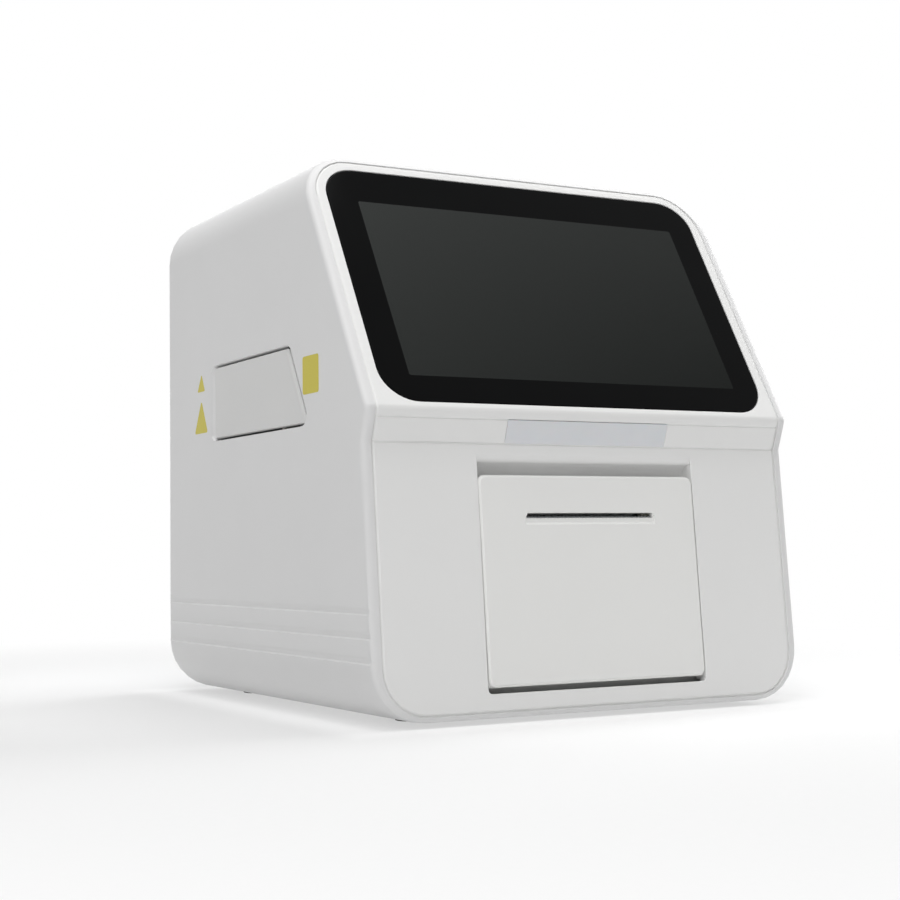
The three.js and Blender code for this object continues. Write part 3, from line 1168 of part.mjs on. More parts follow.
// Printer mechanism: side plates behind the mouth, the head and its beam, the motor
const FRAME_INNER = MOUTH_HALF + GAP;
const FRAME_FRONT = LINER_DEPTH + LINER_WALL + GAP;
const FRAME_BOTTOM = BAY_TOP + GAP;
function printFrame() {
  const outer = FRAME_INNER + FRAME_PLATE;
  const sides = [-1, 1].map((side) => {
    const ends = [side * FRAME_INNER, side * outer].sort((a, b) => a - b);
    return block(ends, [FRAME_FRONT, FRAME_FRONT + FRAME_DEPTH], [FRAME_BOTTOM, FRAME_TOP]);
  });
  const top = block([-outer, outer], [FRAME_FRONT, FRAME_FRONT + FRAME_DEPTH],
    [FRAME_TOP - FRAME_TOP_PLATE, FRAME_TOP]);
  const back = block([-outer, outer],
    [FRAME_FRONT + FRAME_DEPTH - FRAME_PLATE, FRAME_FRONT + FRAME_DEPTH],
    [FRAME_TOP - FRAME_BACK_HEIGHT, FRAME_TOP]);
  const shaftHole = bar(PRINTER_MOTOR_SHAFT + MOTOR_HOLE_PLAY, FRAME_PLATE + 2 * OVERRUN,
    SMALL_ROUND, move(FRAME_INNER - OVERRUN, ...PINION_AXIS), SIDEWAYS);
  return cut(join(...sides, top, back), shaftHole);
}

function printHead() {
  const onPlaten = [move(0, ...PLATEN_AXIS), turnX(HEAD_ANGLE)];
  const face = PLATEN_RADIUS + GAP;
  const back = face + HEAD_PLATE;
  const half = PLATEN_WIDTH / 2 + HEAD_END_MARGIN;
  const level = [-HEAD_HEIGHT / 2, HEAD_HEIGHT / 2];
  const beam = level.map((height) => height * HEAD_BEAM_SHARE);
  const finAt = (i) => beam[0] + (beam[1] - beam[0] - FIN_THICKNESS) * i / (FIN_COUNT - 1);
  return join(
    block([-half, half], [face, back], level, ...onPlaten),
    block([-MOUTH_HALF, MOUTH_HALF], [back - GAP, back + HEAD_BEAM], beam, ...onPlaten),
    ...Array.from({ length: FIN_COUNT }, (_, i) => block([-half, half],
      [back, back + HEAD_BEAM + FIN_HEIGHT], [finAt(i), finAt(i) + FIN_THICKNESS],
      ...onPlaten)));
}

const printerMotor = () => join(
  bar(PRINTER_MOTOR_RADIUS, PRINTER_MOTOR_LENGTH, ROUND,
    move(FRAME_INNER + FRAME_PLATE + GAP, ...PINION_AXIS), SIDEWAYS),
  bar(PRINTER_MOTOR_SHAFT,
    FRAME_INNER + FRAME_PLATE + GAP - GEAR_X + PRINTER_MOTOR_LENGTH / 2, SMALL_ROUND,
    move(GEAR_X, ...PINION_AXIS), SIDEWAYS));

// Paper bay: a cradle between side walls, with the liner that closes the door opening's back
const BAY_HALF = ROLL_WIDTH / 2 + BAY_SIDE_PLAY;
const CRADLE_DEPTH = LINER_DEPTH + LINER_WALL + CRADLE_RADIUS;
const CRADLE_HEIGHT = BAY_BOTTOM + BAY_WALL + CRADLE_RADIUS;
function cradleProfile(radius, front, top) {
  const floor = CRADLE_HEIGHT - radius;
  const startAngle = -Math.PI / 2 - Math.acos(1 - CRADLE_LIP / CRADLE_RADIUS);
  const arc = Array.from({ length: CRADLE_STEPS + 1 }, (_, i) => {
    const angle = startAngle + (0 - startAngle) * i / CRADLE_STEPS;
    return [CRADLE_DEPTH + radius * Math.cos(angle), CRADLE_HEIGHT + radius * Math.sin(angle)];
  });
  return [[front, Math.max(arc[0][1], floor)], ...arc, [arc.at(-1)[0], top], [front, top]];
}

function paperBay() {
  const linerBack = LINER_DEPTH + LINER_WALL;
  const outer = raise(cradleProfile(CRADLE_RADIUS + BAY_WALL, linerBack - LINER_WALL / 2, BAY_TOP),
    -BAY_HALF - BAY_WALL, BAY_HALF + BAY_WALL, SIDEWAYS);
  const inner = raise(cradleProfile(CRADLE_RADIUS, LINER_DEPTH - OVERRUN, BAY_TOP + OVERRUN),
    -BAY_HALF, BAY_HALF, SIDEWAYS);
  const half = OPENING_HALF + LINER_MARGIN;
  const top = RECESS_FLOOR - GAP;
  const sheet = block([-half, half], [LINER_DEPTH, linerBack], [LINER_FLOOR, top]);
  const seat = BEZEL_WALL * Math.cos(LEAN) + GAP;
  const walls = [-1, 1].map((side) => {
    const ends = [side * half, side * (half - LINER_WALL)].sort((a, b) => a - b);
    return block(ends, [seat, linerBack], [OPENING_BOTTOM + LINER_NOTCH + GAP, top]);
  });
  const mouth = block([-MOUTH_HALF, MOUTH_HALF], [LINER_DEPTH - OVERRUN, linerBack + GAP],
    [BAY_TOP - FRAME_TOP_PLATE, top - LINER_WALL]);
  const hingeRoom = block([-half - OVERRUN, half + OVERRUN], [0, LINER_DEPTH],
    [0, OPENING_BOTTOM + LINER_NOTCH]);
  return cut(join(outer, sheet, ...walls), inner, mouth, hingeRoom);
}

const ROLL_CENTRE = [CRADLE_DEPTH, CRADLE_HEIGHT - CRADLE_RADIUS + ROLL_RADIUS + GAP];
const paperRoll = () => cut(
  bar(ROLL_RADIUS, ROLL_WIDTH, ROUND, move(-ROLL_WIDTH / 2, ...ROLL_CENTRE), SIDEWAYS),
  bar(ROLL_CORE_RADIUS, ROLL_WIDTH + 2 * OVERRUN, SMALL_ROUND,
    move(-ROLL_WIDTH / 2 - OVERRUN, ...ROLL_CENTRE), SIDEWAYS));

// Cassette drawer
const drawerFront = () => plate(DRAWER_OUTLINE, DRAWER_RADIUS, [
  [0, HALF_WIDTH - DRAWER_FRONT_THICKNESS],
  [0, HALF_WIDTH - DRAWER_EDGE_DEPTH],
  [[DRAWER_EDGE_TOP, DRAWER_EDGE_WIDTH, DRAWER_EDGE_TOP, DRAWER_EDGE_WIDTH], HALF_WIDTH],
], LEFTWARD);

function cassetteTray() {
  const deck = block([TRAY_X, TRAY_X + TRAY_LENGTH], [TRAY_FRONT_Y, TRAY_REAR_Y],
    [TRAY_BOTTOM, TRAY_TOP]);
  const flangeZ = TRAY_BOTTOM + TRAY_FLANGE_RISE;
  const flanges = block([TRAY_X, TRAY_X + TRAY_LENGTH],
    [TRAY_FRONT_Y - TRAY_FLANGE_WIDTH, TRAY_REAR_Y + TRAY_FLANGE_WIDTH],
    [flangeZ, flangeZ + TRAY_FLANGE_THICKNESS]);
  const nests = NEST_XS.map((x) => plate(
    rectangle(NEST_WIDTH, NEST_LENGTH, x, TRAY_MIDDLE_Y), NEST_RADIUS,
    [[0, TRAY_TOP - NEST_DEPTH], [0, TRAY_TOP + OVERRUN]]));
  const reach = NEST_WIDTH * CHANNEL_END_SHARE;
  const channel = block([NEST_XS[0] - reach, NEST_XS.at(-1) + reach],
    [TRAY_MIDDLE_Y - CHANNEL_WIDTH / 2, TRAY_MIDDLE_Y + CHANNEL_WIDTH / 2],
    [TRAY_TOP - CHANNEL_DEPTH, TRAY_TOP + OVERRUN]);
  return cut(join(deck, flanges), ...nests, channel);
}

// Rails: C sections on webs that stand on the bridge
const FLANGE_Z = TRAY_BOTTOM + TRAY_FLANGE_RISE;
function rail(side) {
  const edge = side < 0 ? TRAY_FRONT_Y : TRAY_REAR_Y;
  const at = (distance) => edge + side * distance;
  const slotEnd = TRAY_FLANGE_WIDTH + RAIL_PLAY;
  const outerEnd = slotEnd + RAIL_WALL;
  const slotLow = FLANGE_Z - RAIL_PLAY;
  const slotHigh = FLANGE_Z + TRAY_FLANGE_THICKNESS + RAIL_PLAY;
  const foot = BRIDGE_TOP + GAP;
  const outline = [
    [at(RAIL_SIDE_GAP), slotHigh], [at(slotEnd), slotHigh], [at(slotEnd), slotLow],
    [at(RAIL_SIDE_GAP), slotLow], [at(RAIL_SIDE_GAP), slotLow - RAIL_WALL],
    [at(outerEnd - RAIL_WALL), slotLow - RAIL_WALL],
    [at(outerEnd - RAIL_WALL), foot + RAIL_FOOT], [at(RAIL_SIDE_GAP), foot + RAIL_FOOT],
    [at(RAIL_SIDE_GAP), foot], [at(outerEnd), foot],
    [at(outerEnd), slotHigh + RAIL_WALL], [at(RAIL_SIDE_GAP), slotHigh + RAIL_WALL],
  ];
  const loop = side < 0 ? outline : [...outline].reverse();
  const start = -INNER_X + GAP;
  return raise(loop.reverse(), start, start + RAIL_LENGTH, SIDEWAYS);
}

// Rack under the tray, with its teeth towards the rear, and the pinion that drives it
const RACK_BACK_Y = TRAY_FRONT_Y + RACK_SIDE;
const RACK_PITCH_Y = RACK_BACK_Y + RACK_WIDTH - RACK_MODULE * ADDENDUM_SHARE;
const PINION_RADIUS = RACK_MODULE * DRAWER_PINION_TEETH / 2;
const DRAWER_PINION = [
  -INNER_X + DRAWER_PINION_FROM_WALL, RACK_PITCH_Y + PINION_RADIUS + CENTRE_PLAY];
const RACK_TOP = TRAY_BOTTOM - GAP;
function drawerRack() {
  const pitch = Math.PI * RACK_MODULE;
  const slope = Math.tan(PRESSURE_ANGLE);
  const tipY = RACK_PITCH_Y + RACK_MODULE * ADDENDUM_SHARE;
  const rootY = RACK_PITCH_Y - RACK_MODULE * DEDENDUM_SHARE;
  const half = (y) => pitch / 4 - RACK_BACKLASH / 4 - (y - RACK_PITCH_Y) * slope;
  const first = Math.ceil((TRAY_X + pitch / 2 - DRAWER_PINION[0]) / pitch - 0.5);
  const middles = Array.from({ length: RACK_TEETH }, (_, i) =>
    DRAWER_PINION[0] + pitch * (first + i + 0.5));
  const teeth = middles.map((x) => [
    [x + half(rootY), rootY], [x + half(tipY), tipY],
    [x - half(tipY), tipY], [x - half(rootY), rootY],
  ]).reverse().flat();
  const [start, end] = [middles[0] - pitch / 2, middles.at(-1) + pitch / 2];
  const outline = [[start, RACK_BACK_Y], [end, RACK_BACK_Y], [end, rootY], ...teeth,
    [start, rootY]];
  return raise(outline, RACK_TOP - RACK_HEIGHT, RACK_TOP);
}

const DRAWER_PINION_BOTTOM = RACK_TOP - RACK_HEIGHT + (RACK_HEIGHT - DRAWER_PINION_HEIGHT) / 2;
const drawerPinion = () => gearWheel(DRAWER_PINION_TEETH, RACK_MODULE, RACK_BACKLASH,
  DRAWER_PINION_HEIGHT, DRAWER_MOTOR_SHAFT + BORE_PLAY,
  move(...DRAWER_PINION, DRAWER_PINION_BOTTOM), turnZ(-Math.PI / 2));

const drawerMotor = () => {
  const top = BRIDGE_TOP - BRIDGE_PLATE - GAP;
  const bottom = top - DRAWER_MOTOR_LENGTH;
  const shaftEnd = DRAWER_PINION_BOTTOM + DRAWER_PINION_HEIGHT;
  return join(
    bar(DRAWER_MOTOR_RADIUS, DRAWER_MOTOR_LENGTH, ROUND, move(...DRAWER_PINION, bottom)),
    bar(DRAWER_MOTOR_SHAFT, shaftEnd - bottom, SMALL_ROUND, move(...DRAWER_PINION, bottom)));
};

// Bridge: a folded sheet that stands on the base plate and carries the rails
const BRIDGE_RIGHT = SUPPLY_LEFT - BRIDGE_FROM_SUPPLY;
function drawerBridge() {
  const left = -INNER_X + BRIDGE_SIDE_MARGIN;
  const low = BASE_TOP + GAP;
  const sheet = block([left, BRIDGE_RIGHT], [BRIDGE_FRONT, BRIDGE_REAR],
    [BRIDGE_TOP - BRIDGE_PLATE, BRIDGE_TOP]);
  const legs = [
    [left + BRIDGE_LEG_INSET, 1, BRIDGE_REAR - BRIDGE_LEG_WIDTH],
    [BRIDGE_RIGHT - BRIDGE_PLATE, -1, BASE_FRONT],
  ].map(([x, inward, front]) => {
    const footEnds = inward > 0 ? [x, x + BRIDGE_FOOT] : [x + BRIDGE_PLATE - BRIDGE_FOOT, x];
    return join(
      block([x, x + BRIDGE_PLATE], [front, BRIDGE_REAR], [low, BRIDGE_TOP - BRIDGE_PLATE / 2]),
      block([footEnds[0], footEnds[1] + OVERRUN], [front, BRIDGE_REAR],
        [low, low + BRIDGE_PLATE]));
  });
  const shaftHole = bar(DRAWER_MOTOR_SHAFT + MOTOR_HOLE_PLAY, BRIDGE_PLATE + 2 * OVERRUN,
    SMALL_ROUND, move(...DRAWER_PINION, BRIDGE_TOP - BRIDGE_PLATE - OVERRUN));
  return cut(join(sheet, ...legs), shaftHole);
}

// Read head: a housing on a portal over the tray, with one lens over each nest
const READ_HEAD_BOTTOM = TRAY_TOP + HEAD_CLEARANCE;
const LENS_BOTTOM = READ_HEAD_BOTTOM - LENS_LENGTH + LENS_SEAT - GAP;
function readHead() {
  const middleX = NEST_XS[1];
  const top = READ_HEAD_BOTTOM + READ_HEAD_HEIGHT;
  const housing = plate(
    rectangle(NEST_XS.at(-1) - NEST_XS[0] + 2 * READ_HEAD_SIDE_MARGIN, READ_HEAD_WIDTH,
      (NEST_XS[0] + NEST_XS.at(-1)) / 2, TRAY_MIDDLE_Y), NEST_RADIUS,
    [[0, READ_HEAD_BOTTOM], [0, top - NEST_RADIUS], [NEST_RADIUS, top]]);
  const railEnd = TRAY_FLANGE_WIDTH + RAIL_PLAY + RAIL_WALL + PORTAL_GAP;
  const outerY = [TRAY_FRONT_Y - railEnd, TRAY_REAR_Y + railEnd];
  const portalX = [middleX - PORTAL_WIDTH / 2, middleX + PORTAL_WIDTH / 2];
  const beam = block(portalX, outerY, [top - 2 * PORTAL_THICKNESS, top - PORTAL_THICKNESS]);
  const posts = [
    block(portalX, [outerY[0] - PORTAL_THICKNESS, outerY[0]],
      [BRIDGE_TOP + GAP, top - PORTAL_THICKNESS]),
    block(portalX, [outerY[1], outerY[1] + PORTAL_THICKNESS],
      [BRIDGE_TOP + GAP, top - PORTAL_THICKNESS]),
  ];
  const seats = NEST_XS.map((x) => bar(LENS_RADIUS + GAP, LENS_SEAT + OVERRUN, ROUND,
    move(x, TRAY_MIDDLE_Y, READ_HEAD_BOTTOM - OVERRUN)));
  return cut(join(housing, beam, ...posts), ...seats);
}

const readLens = () => turned([
  [0, LENS_STEP], [LENS_RADIUS / 2, LENS_STEP / 2], [LENS_RADIUS - LENS_STEP, 0],
  [LENS_RADIUS, LENS_STEP], [LENS_RADIUS, LENS_LENGTH], [0, LENS_LENGTH]], ROUND);

// Base plate, main board and power supply
const basePlate = () => {
  const halfX = HALF_WIDTH - BASE_SIDE_MARGIN;
  const rear = REAR_Y - BASE_REAR_MARGIN;
  const sheet = plate(
    rectangle(2 * halfX, rear - BASE_FRONT, 0, (rear + BASE_FRONT) / 2), DOOR_RADIUS,
    [[0, BASE_RISE], [0, BASE_TOP]]);
  return sheet;
};

function mainBoard() {
  const low = BASE_TOP + BOARD_RISE;
  const sheet = block([BOARD_LEFT, BOARD_RIGHT], [BOARD_FRONT, BOARD_REAR], [low, BOARD_TOP]);
  const posts = [BOARD_LEFT + 2 * BOARD_POST_INSET, BOARD_RIGHT - 2 * BOARD_POST_INSET].flatMap(
    (x) => [BOARD_FRONT + BOARD_POST_INSET, BOARD_REAR - BOARD_POST_INSET].map((y) =>
      bar(BOARD_POST_RADIUS, BOARD_RISE, SMALL_ROUND, move(x, y, BASE_TOP + GAP))));
  const middle = (BOARD_LEFT + BOARD_RIGHT) / 2;
  const chip = block([middle - CHIP_SIZE / 2, middle + CHIP_SIZE / 2],
    [-CHIP_SIZE / 2, CHIP_SIZE / 2], [low, BOARD_TOP + CHIP_TOP]);
  const sinkY = CHIP_SIZE + HEAT_SINK_SIZE;
  const sink = block([middle - HEAT_SINK_SIZE / 2, middle + HEAT_SINK_SIZE / 2],
    [sinkY - HEAT_SINK_SIZE / 2, sinkY + HEAT_SINK_SIZE / 2], [low, BOARD_TOP + HEAT_SINK_TOP]);
  const width = HEAT_SINK_SIZE / (2 * HEAT_SINK_GROOVES + 1);
  const grooves = Array.from({ length: HEAT_SINK_GROOVES }, (_, i) => {
    const from = middle - HEAT_SINK_SIZE / 2 + width * (2 * i + 1);
    return block([from, from + width], [sinkY - HEAT_SINK_SIZE, sinkY + HEAT_SINK_SIZE],
      [BOARD_TOP + CHIP_TOP, BOARD_TOP + HEAT_SINK_TOP + OVERRUN]);
  });
  return cut(join(sheet, ...posts, chip, sink), ...grooves);
}

function powerSupply() {
  const low = BASE_TOP + BOARD_RISE;
  const sheet = block([SUPPLY_LEFT, SUPPLY_RIGHT], [SUPPLY_FRONT, SUPPLY_REAR], [low, BOARD_TOP]);
  const posts = [SUPPLY_LEFT + BOARD_POST_INSET, SUPPLY_RIGHT - BOARD_POST_INSET].flatMap(
    (x) => [SUPPLY_FRONT + BOARD_POST_INSET, SUPPLY_REAR - BOARD_POST_INSET].map((y) =>
      bar(BOARD_POST_RADIUS, BOARD_RISE, SMALL_ROUND, move(x, y, BASE_TOP + GAP))));
  const middleX = (SUPPLY_LEFT + SUPPLY_RIGHT) / 2;
  const middleY = (SUPPLY_FRONT + SUPPLY_REAR) / 2;
  const core = block([middleX - SUPPLY_CORE_WIDTH / 2, middleX + SUPPLY_CORE_WIDTH / 2],
    [middleY - SUPPLY_CORE_LENGTH / 2, middleY + SUPPLY_CORE_LENGTH / 2],
    [low, BOARD_TOP + SUPPLY_CORE_HEIGHT]);
  const capacitor = bar(CAPACITOR_RADIUS, BOARD_TOP - low + CAPACITOR_HEIGHT, ROUND,
    move(middleX, SUPPLY_REAR - 2 * CAPACITOR_RADIUS, low));
  const fin = block([SUPPLY_RIGHT - 2 * BOARD_POST_INSET, SUPPLY_RIGHT - 1.5 * BOARD_POST_INSET],
    [SUPPLY_FRONT + 2 * BOARD_POST_INSET, SUPPLY_REAR - 2 * BOARD_POST_INSET],
    [low, BOARD_TOP + SUPPLY_FIN_HEIGHT]);
  return join(sheet, ...posts, core, capacitor, fin);
}

// Rear panel with vents over the fan, and cut-outs for the sockets
const LAN_Z = BOARD_TOP + GAP;
const PORTS = [
  { x: LAN_X, width: LAN_WIDTH, height: LAN_HEIGHT },
  ...USB_X.map((x) => ({ x, width: USB_WIDTH, height: USB_HEIGHT })),
];
function rearPanel() {
  const toPanel = [move(0, PANEL_OUTER_Y, 0), REARWARD];
  const opening = (width, height, x, z) => raise(
    rounded(rectangle(width, height, -x, z), PUNCH_RADIUS, 1),
    -PANEL_THICKNESS - OVERRUN, OVERRUN, ...toPanel);
  const sheet = plate(rectangle(PANEL_WIDTH, PANEL_HEIGHT, 0, PANEL_MIDDLE_Z), PANEL_RADIUS,
    [[0, -PANEL_THICKNESS], [0, 0]], ...toPanel);
  const fanVents = Array.from({ length: VENT_COUNT }, (_, i) => {
    const rise = VENT_PITCH * (i - (VENT_COUNT - 1) / 2);
    const reach = Math.abs(rise) + VENT_HEIGHT / 2;
    const chord = 2 * Math.sqrt(FAN_BORE_RADIUS ** 2 - reach ** 2);
    return opening(chord, VENT_HEIGHT, FAN_X, FAN_Z + rise);
  });
  const sideVents = Array.from({ length: SIDE_VENT_COUNT }, (_, i) => opening(
    SIDE_VENT_ENDS[1] - SIDE_VENT_ENDS[0], VENT_HEIGHT,
    (SIDE_VENT_ENDS[0] + SIDE_VENT_ENDS[1]) / 2,
    FAN_Z + VENT_PITCH * (i - (SIDE_VENT_COUNT - 1) / 2)));
  const ports = PORTS.map(({ x, width, height }) => opening(
    width + 2 * PORT_PLAY, height + 2 * PORT_PLAY, x, LAN_Z + height / 2));
  const inlet = opening(INLET_BODY_WIDTH + 2 * PORT_PLAY, INLET_BODY_HEIGHT + 2 * PORT_PLAY,
    INLET_X, INLET_Z);
  const power = opening(SWITCH_BODY_WIDTH + 2 * PORT_PLAY, SWITCH_BODY_HEIGHT + 2 * PORT_PLAY,
    SWITCH_X, INLET_Z);
  const screws = PANEL_SCREWS.map(([x, z]) => bar(SCREW_RADIUS + SCREW_PLAY,
    PANEL_THICKNESS + 2 * OVERRUN, SMALL_ROUND,
    move(x, PANEL_INNER_Y - OVERRUN, z), turnX(-Math.PI / 2)));
  return cut(sheet, ...fanVents, ...sideVents, ...ports, inlet, power, ...screws);
}

function panelScrew() {
  const seat = REAR_Y - SCREW_SUNK + GAP;
  const head = turned([[0, 0], [SCREW_HEAD_RADIUS, 0],
    [SCREW_HEAD_RADIUS, SCREW_HEAD_HEIGHT / 2],
    [SCREW_HEAD_RADIUS / 2, SCREW_HEAD_HEIGHT], [0, SCREW_HEAD_HEIGHT]], SMALL_ROUND,
  move(0, seat, 0), turnX(-Math.PI / 2));
  const shank = bar(SCREW_RADIUS, SCREW_LENGTH, SMALL_ROUND,
    move(0, seat + SCREW_HEAD_HEIGHT / 2 - SCREW_LENGTH, 0), turnX(-Math.PI / 2));
  const slotY = [seat + SCREW_HEAD_HEIGHT - SCREW_SLOT_DEPTH, seat + SCREW_HEAD_HEIGHT + OVERRUN];
  const arm = SCREW_HEAD_RADIUS * 2 / 3;
  return cut(join(head, shank),
    block([-arm, arm], slotY, [-SCREW_SLOT_WIDTH / 2, SCREW_SLOT_WIDTH / 2]),
    block([-SCREW_SLOT_WIDTH / 2, SCREW_SLOT_WIDTH / 2], slotY, [-arm, arm]));
}

// Power inlet: a flanged socket with three blades
function powerInlet() {
  const rear = [move(INLET_X, PANEL_OUTER_Y + GAP, INLET_Z), REARWARD];
  const corners = INLET_SOCKET_CORNER;
  const [halfW, halfH] = [INLET_SOCKET_WIDTH / 2, INLET_SOCKET_HEIGHT / 2];
  const socket = [[-halfW, -halfH], [halfW, -halfH], [halfW, halfH - corners],
    [halfW - corners, halfH], [corners - halfW, halfH], [-halfW, halfH - corners]];
  const shell = cut(
    join(
      plate(rectangle(INLET_WIDTH, INLET_HEIGHT), DOOR_RADIUS, [[0, 0], [0, INLET_FLANGE]],
        ...rear),
      plate(rectangle(INLET_BODY_WIDTH, INLET_BODY_HEIGHT), BAR_END_RADIUS,
        [[0, -INLET_BODY_DEPTH], [0, INLET_FLANGE / 2]], ...rear)),
    raise(socket, INLET_FLANGE - INLET_SOCKET_DEPTH, INLET_FLANGE + OVERRUN, ...rear));
  const floor = INLET_FLANGE - INLET_SOCKET_DEPTH;
  const blades = [[-BLADE_SPREAD, -BLADE_OFFSET], [BLADE_SPREAD, -BLADE_OFFSET],
    [0, BLADE_OFFSET]].map(([x, z]) =>
    raise(rectangle(BLADE_THICKNESS, BLADE_WIDTH, x, z), floor - OVERRUN,
      floor + BLADE_LENGTH, ...rear));
  return join(shell, ...blades);
}

// Rocker switch: a frame that snaps into the panel, and a dished rocker on a pivot
const SWITCH_INNER_WIDTH = SWITCH_BODY_WIDTH - 2 * SWITCH_WALL;
const SWITCH_INNER_HEIGHT = SWITCH_BODY_HEIGHT - 2 * SWITCH_WALL;
const ROCKER_Y = PANEL_OUTER_Y + GAP + SWITCH_FLANGE - ROCKER_AXIS_DEPTH;
function switchFrame() {
  const rear = [move(SWITCH_X, PANEL_OUTER_Y + GAP, INLET_Z), REARWARD];
  const body = join(
    plate(rectangle(SWITCH_WIDTH, SWITCH_HEIGHT), BAR_END_RADIUS, [[0, 0], [0, SWITCH_FLANGE]],
      ...rear),
    plate(rectangle(SWITCH_BODY_WIDTH, SWITCH_BODY_HEIGHT), BAR_END_RADIUS,
      [[0, -SWITCH_BODY_DEPTH], [0, SWITCH_FLANGE / 2]], ...rear));
  const well = plate(rectangle(SWITCH_INNER_WIDTH, SWITCH_INNER_HEIGHT), BAR_END_RADIUS,
    [[0, 2 * SWITCH_WALL - SWITCH_BODY_DEPTH], [0, SWITCH_FLANGE + OVERRUN]], ...rear);
  const pivot = bar(ROCKER_PIVOT_RADIUS, SWITCH_INNER_WIDTH + SWITCH_WALL, SMALL_ROUND,
    move(SWITCH_X - SWITCH_INNER_WIDTH / 2 - SWITCH_WALL / 2, ROCKER_Y, INLET_Z), SIDEWAYS);
  return join(cut(body, well), pivot);
}

function rocker() {
  const half = SWITCH_INNER_HEIGHT / 2 - ROCKER_END_PLAY;
  const face = ROCKER_AXIS_DEPTH - ROCKER_SUNK;
  const dish = Array.from({ length: 2 * ARC_STEPS + 1 }, (_, i) => {
    const z = half - 2 * half * i / (2 * ARC_STEPS);
    const sag = Math.sqrt(ROCKER_RADIUS ** 2 - half ** 2);
    return [face - (Math.sqrt(ROCKER_RADIUS ** 2 - z ** 2) - sag) + z * z / ROCKER_RADIUS / 2, z];
  }).reverse();
  const outline = [[-ROCKER_BODY / 2, -half + ROCKER_BODY], [-ROCKER_BODY, 0],
    [-ROCKER_BODY / 2, half - ROCKER_BODY], ...[...dish].reverse()];
  const width = SWITCH_INNER_WIDTH - 2 * ROCKER_PLAY;
  const at = move(SWITCH_X - width / 2, ROCKER_Y, INLET_Z);
  const body = raise([...outline].reverse(), 0, width, at, turnX(ROCKER_TILT), SIDEWAYS);
  return cut(body, bar(ROCKER_PIVOT_RADIUS + BORE_PLAY, width + 2 * OVERRUN, SMALL_ROUND,
    move(SWITCH_X - width / 2 - OVERRUN, ROCKER_Y, INLET_Z), SIDEWAYS));
}

// Sockets on the main board's rear edge
const PORT_FACE = PANEL_OUTER_Y + PORT_PROUD;
function lanPort() {
  const low = LAN_Z;
  const openingLow = low + LAN_SILL + LAN_LATCH_HEIGHT;
  const body = block([LAN_X - LAN_WIDTH / 2, LAN_X + LAN_WIDTH / 2],
    [PORT_FACE - LAN_DEPTH, PORT_FACE], [low, low + LAN_HEIGHT]);
  const mouth = block([LAN_X - LAN_OPENING_WIDTH / 2, LAN_X + LAN_OPENING_WIDTH / 2],
    [PORT_FACE - LAN_OPENING_DEPTH, PORT_FACE + OVERRUN],
    [openingLow, openingLow + LAN_OPENING_HEIGHT]);
  const latch = block([LAN_X - LAN_LATCH_WIDTH / 2, LAN_X + LAN_LATCH_WIDTH / 2],
    [PORT_FACE - LAN_OPENING_DEPTH, PORT_FACE + OVERRUN],
    [openingLow - LAN_LATCH_HEIGHT, openingLow + OVERRUN]);
  return cut(body, mouth, latch);
}

function usbPort(x) {
  const low = LAN_Z;
  const body = block([x - USB_WIDTH / 2, x + USB_WIDTH / 2],
    [PORT_FACE - USB_DEPTH, PORT_FACE], [low, low + USB_HEIGHT]);
  const mouth = block([x - USB_WIDTH / 2 + USB_WALL, x + USB_WIDTH / 2 - USB_WALL],
    [PORT_FACE - USB_MOUTH_DEPTH, PORT_FACE + OVERRUN],
    [low + USB_WALL, low + USB_HEIGHT - USB_WALL]);
  const tongue = block([x - USB_WIDTH / 2 + 2 * USB_WALL, x + USB_WIDTH / 2 - 2 * USB_WALL],
    [PORT_FACE - USB_MOUTH_DEPTH - OVERRUN, PORT_FACE - OVERRUN],
    [low + USB_HEIGHT - USB_WALL - USB_TONGUE - USB_WALL, low + USB_HEIGHT - 2 * USB_WALL]);
  return join(cut(body, mouth), tongue);
}

// Fan: a square frame with struts that carry the motor's post, and a bladed rotor
const FAN_BACK_Y = PANEL_INNER_Y - GAP;
function fanFrame() {
  const rear = [move(FAN_X, FAN_BACK_Y, FAN_Z), REARWARD];
  const body = plate(rectangle(FAN_SIZE, FAN_SIZE), FAN_CORNER, [[0, -FAN_DEPTH], [0, 0]],
    ...rear);
  const bore = bar(FAN_BORE_RADIUS, FAN_DEPTH + 2 * OVERRUN, ROUND, ...rear,
    move(0, 0, -FAN_DEPTH - OVERRUN));
  const struts = Array.from({ length: FAN_STRUT_COUNT }, (_, i) => block(
    [0, FAN_BORE_RADIUS + OVERRUN], [-FAN_STRUT / 2, FAN_STRUT / 2],
    [-FAN_STRUT_DEPTH, 0], ...rear, turnZ(Math.PI * (0.25 + 2 * i / FAN_STRUT_COUNT))));
  const disc = bar(FAN_HUB_RADIUS, FAN_STRUT_DEPTH, ROUND, ...rear,
    move(0, 0, -FAN_STRUT_DEPTH));
  const post = bar(FAN_SHAFT_RADIUS, FAN_DEPTH * 2 / 3, SMALL_ROUND, ...rear,
    move(0, 0, -FAN_DEPTH * 2 / 3));
  const corner = FAN_SIZE / 2 - FAN_HOLE_INSET;
  const holes = [-1, 1].flatMap((a) => [-1, 1].map((b) => bar(FAN_HOLE_RADIUS,
    FAN_DEPTH + 2 * OVERRUN, SMALL_ROUND, ...rear,
    move(a * corner, b * corner, -FAN_DEPTH - OVERRUN))));
  return join(cut(body, bore, ...holes), ...struts, disc, post);
}

